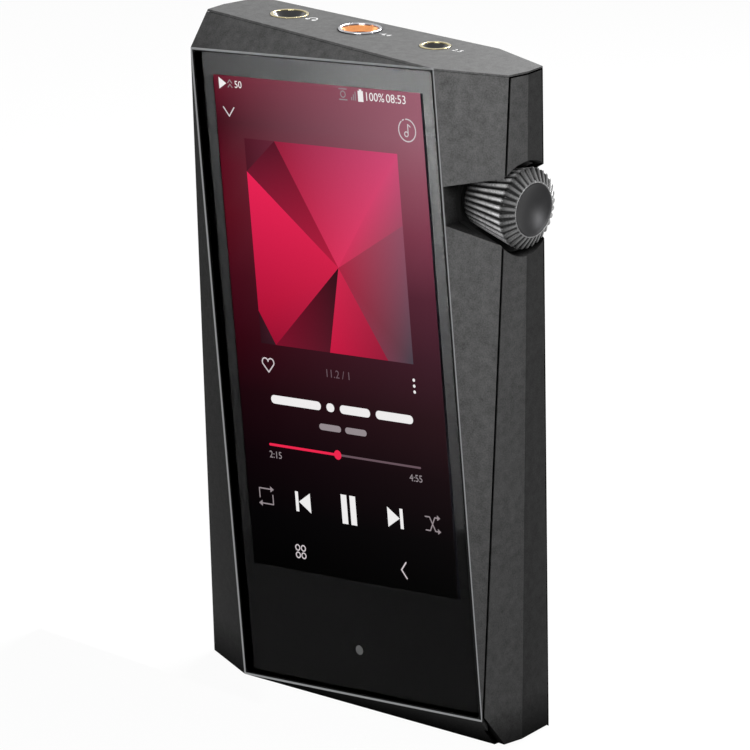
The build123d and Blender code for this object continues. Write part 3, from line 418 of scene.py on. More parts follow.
def add_stroke(bm, path, width, level=2):
    """A pen line along (u, v) points, with round joints and ends."""
    for (u0, v0), (u1, v1) in zip(path, path[1:]):
        length = sqrt((u1 - u0) ** 2 + (v1 - v0) ** 2)
        nu = -(v1 - v0) / length * width / 2
        nv = (u1 - u0) / length * width / 2
        add_plate(bm, [(u0 + nu, v0 + nv), (u0 - nu, v0 - nv), (u1 - nu, v1 - nv),
                       (u1 + nu, v1 + nv)], level)
    for u, v in path:
        add_disc(bm, u, v, width / 2, level, steps=10)


def add_bar(bm, u0, u1, v, height, level=2):
    """A line of a fixed height with round ends."""
    r = height / 2
    right_end = arc_points(u1 - r, v, r, -90, 90, 8)
    left_end = arc_points(u0 + r, v, r, 90, 270, 8)
    add_plate(bm, right_end + left_end, level)


# Backdrop of the picture: a dark crimson glow that fades to black at the foot. Towards the top
# right its colours also carry a painted glare, a pale pink reflection on the glass. Each row has
# its height and the colours of its left and right ends.
BACKDROP_GLOW_AND_GLARE = (
    (47.75, (104, 28, 44), (156, 98, 114)),
    (40.0, (66, 14, 26), (154, 98, 113)),
    (33.0, (88, 14, 30), (144, 80, 97)),
    (25.0, (88, 14, 28), (124, 60, 78)),
    (15.0, (68, 11, 24), (84, 40, 54)),
    (5.0, (50, 6, 16), (62, 32, 42)),
    (-4.0, (28, 6, 12), (44, 24, 29)),
    (-14.0, (14, 4, 8), (26, 16, 19)),
    (-24.0, (5, 4, 5), (12, 10, 11)),
    (PICTURE_LOW, (2, 2, 2), (6, 6, 6)),
)
GLOW_COLUMNS = 6
bm = bmesh.new()
half = PICTURE_WIDTH / 2
for (v1, left1, right1), (v0, left0, right0) in zip(BACKDROP_GLOW_AND_GLARE, BACKDROP_GLOW_AND_GLARE[1:]):
    for i in range(GLOW_COLUMNS):
        near, far = i / GLOW_COLUMNS, (i + 1) / GLOW_COLUMNS
        corners = [(near, v0, left0, right0), (far, v0, left0, right0), (far, v1, left1, right1),
                   (near, v1, left1, right1)]
        outline = [(-half + PICTURE_WIDTH * t, v) for t, v, _, _ in corners]
        shades = [tuple(a + (b - a) * t for a, b in zip(srgb(*left), srgb(*right)))
                  for t, _, left, right in corners]
        add_plate(bm, outline, 0, shades)
bmesh.ops.remove_doubles(bm, verts=bm.verts, dist=0.0001 * MM)
finish_piece(bm, "picture_glow_and_glare", lit_material("lit_glow_and_glare"))

# Cover picture: a fan of plain crimson facets round one point of a dark square.
ART_LEFT, ART_RIGHT, ART_LOW, ART_HIGH = -16.35, 16.35, 4.4, 37.6
FAN = (0.56, 0.42)
ART = (
    # level, outline as shares of the square, a colour for each corner
    (1, ((0, 0), (1, 0), (1, 1), (0, 1)),
     ((44, 18, 26), (84, 66, 78), (150, 74, 98), (80, 24, 38))),
    (2, (FAN, (0.20, 1), (1, 1)), ((216, 50, 90), (146, 32, 58), (206, 76, 118))),
    (2, (FAN, (1, 1), (1, 0.66)), ((206, 46, 84), (208, 78, 120), (160, 78, 102))),
    (2, (FAN, (1, 0.66), (1, 0), (0.84, 0)),
     ((170, 38, 66), (146, 82, 102), (72, 66, 76), (112, 60, 76))),
    (2, (FAN, (0.84, 0), (0.46, 0)), ((204, 40, 76), (146, 30, 56), (196, 26, 64))),
    (2, (FAN, (0.46, 0), (0.10, 0)), ((48, 18, 26), (84, 24, 38), (120, 18, 42))),
    (2, (FAN, (0.10, 0), (0, 0.16), (0, 0.84)),
     ((206, 34, 72), (150, 18, 48), (176, 20, 54), (232, 36, 84))),
    (2, (FAN, (0, 0.84), (0.20, 1)), ((178, 30, 62), (108, 24, 44), (84, 24, 40))),
)
bm = bmesh.new()
for level, outline, colours in ART:
    points = [(ART_LEFT + (ART_RIGHT - ART_LEFT) * s, ART_LOW + (ART_HIGH - ART_LOW) * t)
              for s, t in outline]
    add_plate(bm, points, level, [srgb(*c) for c in colours])
finish_piece(bm, "picture_cover", lit_material("lit_cover"))

# Bold symbols: play mark, battery, pause and skip keys, and the three dots of the menu.
lit_white = lit_material("lit_white", srgb(238, 236, 236))
lit_grey = lit_material("lit_grey", srgb(148, 138, 142))
lit_dim = lit_material("lit_dim", srgb(104, 84, 92))
lit_red = lit_material("lit_red", srgb(238, 40, 78))
STATUS_V = 46.2
TRANSPORT_V = -21.1
HEART_V = 1.0
PLAY_MARK_U = -20.9
BATTERY_U = 9.6
PAUSE_U = 0.95  # middle of each pause bar, either side of the centre
SKIP_U, SKIP_HALF = 9.95, 1.65
MENU_U, MENU_V, MENU_STEP = 16.2, 0.9, 0.95


def add_block(bm, u, v, half_width, half_height):
    """A plain upright rectangle."""
    add_plate(bm, [(u - half_width, v - half_height), (u + half_width, v - half_height),
                   (u + half_width, v + half_height), (u - half_width, v + half_height)])


bm = bmesh.new()
add_plate(bm, [(PLAY_MARK_U, STATUS_V - 0.95), (PLAY_MARK_U + 1.6, STATUS_V),
               (PLAY_MARK_U, STATUS_V + 0.95)])
add_plate(bm, [(BATTERY_U - 0.55, STATUS_V - 0.95), (BATTERY_U + 0.55, STATUS_V - 0.95),
               (BATTERY_U + 0.55, STATUS_V + 0.75), (BATTERY_U + 0.25, STATUS_V + 0.75),
               (BATTERY_U + 0.25, STATUS_V + 1.0), (BATTERY_U - 0.25, STATUS_V + 1.0),
               (BATTERY_U - 0.25, STATUS_V + 0.75), (BATTERY_U - 0.55, STATUS_V + 0.75)])
for side in (-1, 1):
    add_block(bm, side * PAUSE_U, TRANSPORT_V, 0.62, 2.4)
    skip = side * SKIP_U
    add_plate(bm, [(skip - side * 1.6, TRANSPORT_V - SKIP_HALF), (skip + side * 0.95, TRANSPORT_V),
                   (skip - side * 1.6, TRANSPORT_V + SKIP_HALF)][::side])
    add_block(bm, skip + side * 1.35, TRANSPORT_V, 0.32, SKIP_HALF)
for rise in (-MENU_STEP, 0.0, MENU_STEP):
    add_disc(bm, MENU_U, MENU_V + rise, 0.26)
finish_piece(bm, "symbols_bold", lit_white)

# Title and maker's line: rounded bars in place of words.
TITLE_V, ARTIST_V = -4.65, -8.0
bm = bmesh.new()
for start, end in ((-15.2, -4.3), (-3.1, -1.4), (-0.2, 6.3), (7.5, 15.4)):
    add_bar(bm, start, end, TITLE_V, 1.4)
finish_piece(bm, "title_bars", lit_white)
bm = bmesh.new()
for start, end in ((-5.0, -0.3), (0.6, 5.2)):
    add_bar(bm, start, end, ARTIST_V, 1.05)
finish_piece(bm, "artist_bars", lit_grey)

# Progress line with its knob.
LINE_V, LINE_LEFT, LINE_RIGHT, KNOB_U = -12.25, -16.45, 16.3, -1.43
bm = bmesh.new()
add_bar(bm, LINE_LEFT, KNOB_U, LINE_V, 0.42, level=3)
add_disc(bm, KNOB_U, LINE_V, 0.78, level=4)
finish_piece(bm, "progress_done", lit_red)
bm = bmesh.new()
add_bar(bm, KNOB_U, LINE_RIGHT, LINE_V, 0.34)
finish_piece(bm, "progress_left", lit_dim)

# Fine line symbols: two chevrons, four rings, a heart, and a note in a broken ring.
DOWN_U, DOWN_V = -19.2, 40.95
BACK_U, BACK_V = 10.45, -29.5
RINGS_U, RINGS_V, RINGS_HALF = -11.4, -29.47, 0.62
HEART_U = -15.2
NOTE_U, NOTE_V, NOTE_RING = 18.83, 41.45, 1.75
PEN = 0.2
bm = bmesh.new()
add_stroke(bm, [(DOWN_U - 1.15, DOWN_V + 1.4), (DOWN_U, DOWN_V), (DOWN_U + 1.15, DOWN_V + 1.4)],
           1.1 * PEN)
add_stroke(bm, [(BACK_U + 1.05, BACK_V + 1.3), (BACK_U, BACK_V), (BACK_U + 1.05, BACK_V - 1.3)],
           1.2 * PEN)
for u in (-RINGS_HALF, RINGS_HALF):
    for v in (-RINGS_HALF, RINGS_HALF):
        add_stroke(bm, arc_points(RINGS_U + u, RINGS_V + v, 0.46, steps=16), PEN)
heart_right = arc_points(0.62, 0.35, 0.66, -25, 165, 10)
heart_left = [(-u, v) for u, v in heart_right[::-1]]
heart_foot = [(0.0, -1.25)]
heart = heart_foot + heart_right + heart_left + heart_foot
add_stroke(bm, [(HEART_U + u, HEART_V + v) for u, v in heart], 1.1 * PEN)
add_stroke(bm, arc_points(NOTE_U, NOTE_V, NOTE_RING, -230, 95, 30), PEN)
for start in (110, 135):
    add_stroke(bm, arc_points(NOTE_U, NOTE_V, NOTE_RING, start, start + 9, 3), PEN)
add_stroke(bm, arc_points(NOTE_U - 0.21, NOTE_V - 0.6, 0.38, steps=10), 0.9 * PEN)
add_stroke(bm, [(NOTE_U + 0.17, NOTE_V - 0.6), (NOTE_U + 0.17, NOTE_V + 0.95),
                (NOTE_U + 0.67, NOTE_V + 0.6)], 0.9 * PEN)
finish_piece(bm, "symbols_fine", lit_material("lit_soft_white", srgb(205, 196, 200)))

# Pale line symbols: repeat and shuffle arrows, and the small marks of the status row.
REPEAT_U, SHUFFLE_U, SHUFFLE_HALF = -18.1, 17.9, 1.1
LINK_U, BARS_U, LEVEL_U = 5.9, 7.7, -18.5
bm = bmesh.new()
for turn in (1, -1):
    path = ((-1.45, -0.3), (-1.45, 1.25), (1.25, 1.25))
    head = ((1.0, 0.75), (1.75, 1.25), (1.0, 1.75))
    add_stroke(bm, [(REPEAT_U + turn * u, TRANSPORT_V + turn * v) for u, v in path], PEN)
    add_plate(bm, [(REPEAT_U + turn * u, TRANSPORT_V + turn * v) for u, v in head])
    v1 = TRANSPORT_V + turn * SHUFFLE_HALF
    v0 = TRANSPORT_V - turn * SHUFFLE_HALF
    add_stroke(bm, [(SHUFFLE_U - 1.5, v0), (SHUFFLE_U - 0.6, v0), (SHUFFLE_U + 0.5, v1),
                    (SHUFFLE_U + 1.2, v1)], PEN)
    add_plate(bm, [(SHUFFLE_U + 1.0, v1 - 0.45), (SHUFFLE_U + 1.65, v1),
                   (SHUFFLE_U + 1.0, v1 + 0.45)])
    add_stroke(bm, [(LINK_U - 0.8, STATUS_V + turn * 0.85), (LINK_U + 0.8, STATUS_V + turn * 0.85)],
               PEN)
add_stroke(bm, arc_points(LINK_U, STATUS_V, 0.5, steps=12), 0.9 * PEN)
for step in range(3):
    u = BARS_U + 0.4 * step
    add_stroke(bm, [(u, STATUS_V - 0.75), (u, STATUS_V - 0.4 + 0.45 * step)], PEN)
for step in range(2):
    v = STATUS_V - 0.6 + 0.7 * step
    add_stroke(bm, [(LEVEL_U - 0.45, v), (LEVEL_U, v + 0.5), (LEVEL_U + 0.45, v)], 0.8 * PEN)
finish_piece(bm, "symbols_pale", lit_grey)


SIZE_PER_HEIGHT = 1.42  # a figure of 1 mm needs this type size


def add_figures(name, text, size, thickness, material, place, turn=(0, 0, 0)):
    """Figures as a thin solid centred on a place. Size and thickness are in millimetres."""
    curve = bpy.data.curves.new(name, "FONT")
    curve.body = text
    curve.align_x = "CENTER"
    curve.align_y = "CENTER"
    curve.size = size * MM
    curve.extrude = thickness * MM / 2
    curve.resolution_u = 3
    curve.materials.append(material)
    label = bpy.data.objects.new(name, curve)
    bpy.context.scene.collection.objects.link(label)
    label.rotation_euler = turn
    label.location = place
    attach(label, "root")


def add_number(name, text, u, v, height, material):
    """Lit figures of a height in millimetres, centred at (u, v)."""
    place = screen_point(u, v, panel_y - 3 * LAYER * MM)
    add_figures(name, text, height * SIZE_PER_HEIGHT, LAYER_THICKNESS, material, place,
                (pi / 2, -SCREEN_TILT, 0))


add_number("figures_volume", "50", -16.7, STATUS_V - 0.1, 1.15, lit_white)
add_number("figures_charge", "100%", 12.5, STATUS_V - 0.1, 1.35, lit_white)
add_number("figures_clock", "08:53", 17.0, STATUS_V - 0.1, 1.35, lit_white)
add_number("figures_rate", "11.2 / 1", 0.0, 0.9, 1.3, lit_dim)
add_number("figures_elapsed", "2:15", -15.2, -13.95, 1.15, lit_grey)
add_number("figures_length", "4:55", 15.1, -14.1, 1.15, lit_grey)

dress(mottled("display_stack", (0.004, 0.004, 0.005), 0.5, grain=16.0, tone=0.4, specular=0.0),
      "display_panel")

# Home mark: a small pale dot printed on the back of the glass below the picture.
HOME_V, HOME_R = -44.2, 0.78
HOME_STEPS = 24
bm = bmesh.new()
rows = []
for gap in (0.028, 0.012):
    circle = arc_points(0.0, HOME_V, HOME_R, steps=HOME_STEPS)[:-1]
    rows.append([bm.verts.new(screen_point(u, v, glass_high.y + gap * MM)) for u, v in circle])
bm.faces.new(rows[0])
bm.faces.new(rows[1][::-1])
for i in range(HOME_STEPS):
    j = (i + 1) % HOME_STEPS
    bm.faces.new((rows[0][i], rows[1][i], rows[1][j], rows[0][j]))
home_print = mottled("home_print", (0.016, 0.016, 0.017), 0.5, grain=10.0, depth=0.001)
finish_piece(bm, "home_mark", home_print)

# ---------------------------------------------------------------- inside the case
# Sheet-metal parts: the backlight tray, the cans over the circuits, the card reader's shell and
# the USB-C shell are pressed steel with a dull tin finish.
dress(mottled("pressed_steel", (0.42, 0.42, 0.41), 0.34, metallic=1.0, grain=2.5, tone=0.25),
      "backlight_tray", "shield_cans", "card_reader", "usb_shell")
dress(mottled("magnesium", (0.30, 0.31, 0.31), 0.55, metallic=0.8, grain=3.0, tone=0.4, depth=0.01),
      "mid_frame")
dress(mottled("screw_steel", (0.10, 0.10, 0.105), 0.35, metallic=1.0, grain=6.0), "frame_screws",
      "board_screws")

# Flexible leads: amber polyimide film with copper tracks along it.
flex_film, tree, shader = new_material("flex_film")
tracks = add_node(tree, "ShaderNodeTexWave", bands_direction="X")
tracks.inputs["Scale"].default_value = 700.0
tree.links.new(place_coordinates(tree), tracks.inputs["Vector"])
film_colour = add_node(tree, "ShaderNodeValToRGB")
film_colour.color_ramp.elements[0].color = (0.30, 0.10, 0.02, 1.0)
film_colour.color_ramp.elements[1].color = (0.45, 0.20, 0.05, 1.0)
tree.links.new(tracks.outputs["Fac"], film_colour.inputs["Fac"])
tree.links.new(film_colour.outputs["Color"], shader.inputs["Base Color"])
shader.inputs["Roughness"].default_value = 0.3
bumped(tree, shader, tracks.outputs["Fac"], 0.01)
dress(flex_film, "display_flex", "usb_flex", "antenna")

# Circuit boards: dark green solder mask over copper tracks, with tinned vias.
circuit_board, tree, shader = new_material("circuit_board")
place = place_coordinates(tree)
runs = add_node(tree, "ShaderNodeTexBrick", offset=0.37, squash=1.6)
runs.inputs["Scale"].default_value = 420.0
runs.inputs["Mortar Size"].default_value = 0.05
runs.inputs["Color1"].default_value = (0.006, 0.050, 0.022, 1.0)
runs.inputs["Color2"].default_value = (0.009, 0.062, 0.028, 1.0)
runs.inputs["Mortar"].default_value = (0.020, 0.110, 0.050, 1.0)
flat_place = add_node(tree, "ShaderNodeMapping")
flat_place.inputs["Rotation"].default_value = (pi / 2, 0, 0)
tree.links.new(place, flat_place.inputs["Vector"])
tree.links.new(flat_place.outputs["Vector"], runs.inputs["Vector"])
vias = add_node(tree, "ShaderNodeTexVoronoi")
vias.inputs["Scale"].default_value = 700.0
tree.links.new(place, vias.inputs["Vector"])
via_mask = math_node(tree, "LESS_THAN", vias.outputs["Distance"], 0.16)
board_mix = add_node(tree, "ShaderNodeMix", data_type="RGBA")
board_mix.inputs["B"].default_value = (0.55, 0.50, 0.40, 1.0)
tree.links.new(via_mask, board_mix.inputs["Factor"])
tree.links.new(runs.outputs["Color"], board_mix.inputs["A"])
tree.links.new(board_mix.outputs["Result"], shader.inputs["Base Color"])
tree.links.new(via_mask, shader.inputs["Metallic"])
shader.inputs["Roughness"].default_value = 0.35
bumped(tree, shader, runs.outputs["Fac"], 0.02)
dress(circuit_board, "main_board", "audio_board", "usb_board", "button_board", "wheel_board",
      "lamp_board")

dress(mottled("chip_epoxy", (0.018, 0.018, 0.019), 0.5, grain=9.0, tone=0.5), "processor_chips",
      "audio_chips", "turn_sensor")
dress(mottled("thermal_silicone", (0.32, 0.33, 0.36), 0.7, grain=5.0, tone=0.3), "thermal_pad")
dress(mottled("battery_foil", (0.34, 0.34, 0.35), 0.38, metallic=0.6, grain=0.5, tone=0.15,
              depth=0.15), "battery")
dress(mottled("moulded_plastic", (0.025, 0.025, 0.026), 0.45, grain=5.0, tone=0.3, depth=0.006),
      "battery_connector", "button_switches", "power_switch", "socket_3_5_body", "socket_4_4_body",
      "socket_2_5_body", "usb_tongue")
dress(mottled("lamp_epoxy", (0.75, 0.72, 0.60), 0.3, grain=6.0), "lamps")
dress(mottled("plunger_plastic", (0.60, 0.58, 0.52), 0.4, grain=6.0), "card_slider",
      "power_plunger")
dress(mottled("carrier_brass", (0.55, 0.38, 0.14), 0.3, metallic=1.0, grain=4.0),
      "wheel_carrier")
dress(mottled("shaft_steel", (0.45, 0.45, 0.46), 0.22, metallic=1.0, grain=4.0), "wheel_shaft",
      "shaft_clip", "shaft_magnet")

# ---------------------------------------------------------------- headphone sockets
# Three turned collars stand in the top plate. The middle one is polished steel over a copper
# sleeve, and the outer two are thin gilt rings over black mouths.
gilt_ring = mottled("gilt_ring", (0.42, 0.36, 0.20), 0.22, metallic=1.0, grain=6.0, tone=0.2)
steel_ring = mottled("steel_ring", (0.40, 0.40, 0.42), 0.16, metallic=1.0, grain=6.0, tone=0.15)
copper = mottled("copper_sleeve", (0.83, 0.34, 0.13), 0.2, metallic=1.0, grain=5.0, tone=0.2)
black_mouth = mottled("black_mouth", (0.012, 0.012, 0.012), 0.2, grain=5.0)
dress(gilt_ring, "socket_3_5_collar", "socket_2_5_collar")
dress(steel_ring, "socket_4_4_collar")
dress(copper, "socket_4_4_sleeve", "socket_terminals")
dress(black_mouth, "socket_3_5_sleeve", "socket_2_5_sleeve")

# Socket marks: a small headphone symbol and plain sizes, printed in pale ink beside each socket.
top_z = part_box("top_plate")[1].z
MARK_LIFT, MARK_RISE = 0.002, 0.012  # underside and top of the ink, above the plate
top_ink = mottled("pale_ink", (0.55, 0.55, 0.55), 0.6, grain=10.0, depth=0.002)


def add_top_ring(bm, x, y, radius, width, start, end):
    """A printed arc on the top plate, from one angle to another in degrees."""
    steps = 14
    for i in range(steps):
        corners = []
        for j, r in ((i, radius - width / 2), (i, radius + width / 2), (i + 1, radius + width / 2),
                     (i + 1, radius - width / 2)):
            angle = radians(start + (end - start) * j / steps)
            corners.append((x + r * cos(angle), y + r * sin(angle)))
        rows = [[bm.verts.new((px * MM, py * MM, top_z + rise * MM)) for px, py in corners]
                for rise in (MARK_LIFT, MARK_RISE)]
        bm.faces.new(rows[0][::-1])
        bm.faces.new(rows[1])
        for a in range(4):
            b = (a + 1) % 4
            bm.faces.new((rows[0][a], rows[0][b], rows[1][b], rows[1][a]))


MARK_X = {"socket_3_5": 5.0, "socket_4_4": 5.4, "socket_2_5": 4.6}
bm = bmesh.new()
low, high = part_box("socket_3_5_collar")
mark_x = (low.x + high.x) / 2 / MM + MARK_X["socket_3_5"]
mark_y = (low.y + high.y) / 2 / MM
add_top_ring(bm, mark_x, mark_y, 0.75, 0.22, -30, 210)
for side in (-1, 1):
    add_top_ring(bm, mark_x + side * 0.68, mark_y - 0.45, 0.24, 0.3, 0, 360)
finish_piece(bm, "headphone_mark", top_ink)


def add_top_figures(name, text, socket):
    """Plain figures printed on the top plate beside a socket."""
    low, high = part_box(f"{socket}_collar")
    place = ((low.x + high.x) / 2 + MARK_X[socket] * MM, (low.y + high.y) / 2,
             top_z + MARK_RISE * MM / 2 + MARK_LIFT * MM)
    add_figures(name, text, 1.5, MARK_RISE, top_ink, place)


add_top_figures("figures_4_4", "4.4", "socket_4_4")
add_top_figures("figures_2_5", "2.5", "socket_2_5")

# ---------------------------------------------------------------- buttons
# Three aluminium keys in the left rail: playback back, play and forward.
dress(mottled("button_metal", (0.075, 0.075, 0.076), 0.36, metallic=0.3, grain=5.0, tone=0.3,
              depth=0.008), "button_previous", "button_play", "button_next")

# ---------------------------------------------------------------- volume wheel
# A turned aluminium cone with 32 round ridges. They run along the cone and over its bevelled end
# to a thin bright lip round the dished cap.
wheel_low, wheel_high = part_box("volume_wheel")
wheel_y = (wheel_low.y + wheel_high.y) / 2
wheel_z = (wheel_low.z + wheel_high.z) / 2
wheel_r = (wheel_high.z - wheel_low.z) / 2 / MM
wheel_end = wheel_high.x / MM
RIDGES = 32
RIDGE_HALF = 0.37  # half a ridge's width, as a share of the pitch
HALF_RIDGE = (0.26, 0.5, 0.7, 0.86, 0.96, 1.0)
ACROSS_RIDGE = [-share for share in HALF_RIDGE[::-1]] + [0.0] + list(HALF_RIDGE)
ACROSS_GROOVE = [0.43, 0.5, 0.57]
SAMPLES = [RIDGE_HALF * share for share in ACROSS_RIDGE] + ACROSS_GROOVE
# Along the wheel: distance in from its outer end, crest radius, ridge height and polish. The polish
# also carries painted light: it lightens the crests as a painted highlight, and it fades to dark at
# the inner end and where the cone meets its bevelled end, as painted shade.
WHEEL_FORM = (
    # inner end
    (10.65, 2.5, 0.0, 0.0), (10.65, 3.7, 0.0, 0.0), (10.62, 3.95, 0.12, 0.0),
    (10.50, 4.18, 0.3, 0.0), (10.30, 4.32, 0.4, 0.04),
    # cone
    (8.5, 4.74, 0.44, 0.35), (6.5, 5.20, 0.48, 0.9), (1.9, 6.27, 0.54, 1.0),
    (1.60, 6.36, 0.54, 0.7), (1.40, wheel_r - 0.01, 0.50, 0.10),
    # bevelled outer end
    (1.26, 6.29, 0.48, 0.06), (1.0, 5.90, 0.42, 0.12), (0.6, 5.30, 0.36, 0.2),
    (0.30, 4.84, 0.26, 0.22), (0.10, 4.50, 0.16, 0.25), (0.03, 4.34, 0.0, 0.2),
    # lip round the cap, and its seat
    (0.0, 4.30, 0.0, 0.28), (0.0, 4.20, 0.0, 0.28), (0.08, 4.13, 0.0, 0.2),
    (1.4, 4.13, 0.0, 0.0), (1.4, 2.5, 0.0, 0.0),
)


def ridge_height(share):
    """The round section of one ridge, over the share of a pitch from its middle."""
    if abs(share) >= RIDGE_HALF:
        return 0.0
    return sqrt(1 - (share / RIDGE_HALF) ** 2)


bm = bmesh.new()
polish_and_painted_light_layer = bm.verts.layers.float.new("polish_and_painted_light")
rings = []
for back, crest, height, polish_and_painted_light in WHEEL_FORM:
    ring = []
    for i in range(RIDGES):
        for share in SAMPLES:
            angle = 2 * pi * (i + share) / RIDGES
            rise = ridge_height(share) if height else 1.0
            r = crest - height * (1 - rise)
            vert = bm.verts.new(((wheel_end - back) * MM, wheel_y + r * MM * cos(angle),
                                 wheel_z + r * MM * sin(angle)))
            vert[polish_and_painted_light_layer] = polish_and_painted_light * rise ** 3
            ring.append(vert)
    rings.append(ring)
rings.append(rings[0])
for inner, outer in zip(rings, rings[1:]):
    for i in range(len(inner)):
        j = (i + 1) % len(inner)
        bm.faces.new((inner[i], inner[j], outer[j], outer[i]))

# Dark anodised metal whose crests are polished bright, as the polish value says. The bright crest
# colour is partly a painted highlight, and the value's dark inner end and corner are painted shade.
wheel_metal, tree, shader = new_material("wheel_metal")
anodised = use_group(tree, mottle, Colour=(0.018, 0.018, 0.018), Roughness=0.36, Grain_per_mm=5.0)
crest_polish_and_highlight = use_group(tree, mottle, Colour=(0.78, 0.78, 0.785), Roughness=0.28, Grain_per_mm=5.0)
polish_and_painted_light_value = add_node(tree, "ShaderNodeAttribute", attribute_name="polish_and_painted_light")
metal_mix = add_node(tree, "ShaderNodeMix", data_type="RGBA")
tree.links.new(polish_and_painted_light_value.outputs["Fac"], metal_mix.inputs["Factor"])
tree.links.new(anodised.outputs["Colour"], metal_mix.inputs["A"])
tree.links.new(crest_polish_and_highlight.outputs["Colour"], metal_mix.inputs["B"])
tree.links.new(metal_mix.outputs["Result"], shader.inputs["Base Color"])
tree.links.new(crest_polish_and_highlight.outputs["Roughness"], shader.inputs["Roughness"])
shader.inputs["Metallic"].default_value = 0.5
shader.inputs["Specular IOR Level"].default_value = 0.1
ridged_wheel = finish_piece(bm, "ridged_wheel", wheel_metal, "wheel", smooth=True)
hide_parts("volume_wheel")

# Cap: a dished disc, finely turned, pressed into the wheel's end.
TURNING_LINES = 9000  # fine rings per metre of radius
cap_metal, tree, shader = new_material("turned_cap")
place = add_node(tree, "ShaderNodeMapping")
place.inputs["Location"].default_value = (0, -wheel_y, -wheel_z)
tree.links.new(place_coordinates(tree), place.inputs["Vector"])
spread = add_node(tree, "ShaderNodeVectorMath", operation="MULTIPLY")
spread.inputs[1].default_value = (0, 1, 1)
tree.links.new(place.outputs["Vector"], spread.inputs[0])
radius = add_node(tree, "ShaderNodeVectorMath", operation="LENGTH")
tree.links.new(spread.outputs[0], radius.inputs[0])
turning = math_node(tree, "MULTIPLY", radius.outputs["Value"], 2 * pi * TURNING_LINES)
turning = math_node(tree, "SINE", turning)
cap_grain = use_group(tree, mottle, Colour=(0.030, 0.030, 0.031), Roughness=0.36, Tone_shift=0.15)
tree.links.new(cap_grain.outputs["Colour"], shader.inputs["Base Color"])
tree.links.new(cap_grain.outputs["Roughness"], shader.inputs["Roughness"])
shader.inputs["Metallic"].default_value = 1.0
bumped(tree, shader, turning, 0.0015, 0.5)

CAP_R = 4.12
DISH_R, DISH_DEPTH, DISH_STEPS = 4.0, 0.85, 16
SEGMENTS = 96
cap_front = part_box("wheel_cap")[1].x / MM
cap_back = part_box("wheel_cap")[0].x / MM
ball_r = (DISH_R ** 2 + DISH_DEPTH ** 2) / (2 * DISH_DEPTH)
cap_form = [(cap_back, 0.0), (cap_back, CAP_R), (cap_front, CAP_R), (cap_front, DISH_R)]
for i in range(1, DISH_STEPS + 1):
    r = DISH_R * (1 - i / DISH_STEPS)
    cap_form.append((cap_front - DISH_DEPTH + ball_r - sqrt(ball_r ** 2 - r ** 2), r))
bm = bmesh.new()
rings = []
for x, r in cap_form:
    if r == 0.0:
        rings.append([bm.verts.new((x * MM, wheel_y, wheel_z))])
        continue
    angles = [2 * pi * i / SEGMENTS for i in range(SEGMENTS)]
    rings.append([bm.verts.new((x * MM, wheel_y + r * MM * cos(a), wheel_z + r * MM * sin(a)))
                  for a in angles])
for inner, outer in zip(rings, rings[1:]):
    for i in range(SEGMENTS):
        j = (i + 1) % SEGMENTS
        if len(inner) == 1:
            bm.faces.new((inner[0], outer[j], outer[i]))
        elif len(outer) == 1:
            bm.faces.new((inner[i], inner[j], outer[0]))
        else:
            bm.faces.new((inner[i], inner[j], outer[j], outer[i]))
dished_cap = finish_piece(bm, "dished_cap", cap_metal, "wheel", smooth=True)
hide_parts("wheel_cap")

# Recess liner: black anodised, with a frosted light ring round the shaft at its bottom.
dress(mottled("black_anodised", (0.008, 0.008, 0.008), 0.5, grain=5.0, tone=0.3, depth=0.006,
              specular=0.08), "wheel_well")
dress(mottled("smoked_diffuser", (0.02, 0.02, 0.02), 0.6, grain=6.0, specular=0.1), "light_ring")

# ---------------------------------------------------------------- floor, light and camera
# A pale seamless floor that the player stands on, a white surround, and soft studio light: a
# large box above and behind, a key at the front right, a strip at the right, a weak fill at the
# left and a graded panel for the sheen on the glass border.
FLOOR_LIT = 0.96  # share of the floor's tone that is even white; the rest takes the shadow
FLOOR_SINK = 0.02  # how far the floor lies below the player's bottom, in millimetres
ROOM_LIGHT = 0.06  # strength of the surround as a light
floor_mesh = bmesh.new()
bmesh.ops.create_grid(floor_mesh, x_segments=1, y_segments=1, size=6.0)
mesh = bpy.data.meshes.new("floor")
floor_mesh.to_mesh(mesh)
floor_mesh.free()
floor = bpy.data.objects.new("floor", mesh)
bpy.context.scene.collection.objects.link(floor)
floor.location.z = -FLOOR_SINK * MM
floor_paint, tree, shader = new_material("pale_floor")
shader.inputs["Base Color"].default_value = (0.80, 0.80, 0.80, 1.0)
shader.inputs["Roughness"].default_value = 0.9
shader.inputs["Specular IOR Level"].default_value = 0.0
rays = add_node(tree, "ShaderNodeLightPath")
seen = math_node(tree, "MAXIMUM", rays.outputs["Is Camera Ray"], rays.outputs["Is Glossy Ray"])
seen = math_node(tree, "MAXIMUM", seen, rays.outputs["Is Transmission Ray"])
glow = add_node(tree, "ShaderNodeEmission")
glow.inputs["Strength"].default_value = 1.0
dark = add_node(tree, "ShaderNodeBsdfDiffuse")
dark.inputs["Color"].default_value = (0.02, 0.02, 0.02, 1.0)
lit_floor = add_node(tree, "ShaderNodeMixShader")
lit_floor.inputs["Fac"].default_value = FLOOR_LIT
tree.links.new(shader.outputs["BSDF"], lit_floor.inputs[1])
tree.links.new(glow.outputs["Emission"], lit_floor.inputs[2])
surface = add_node(tree, "ShaderNodeMixShader")
tree.links.new(seen, surface.inputs["Fac"])
tree.links.new(dark.outputs["BSDF"], surface.inputs[1])
tree.links.new(lit_floor.outputs["Shader"], surface.inputs[2])
tree.links.new(surface.outputs["Shader"], tree.nodes["Material Output"].inputs["Surface"])
mesh.materials.append(floor_paint)

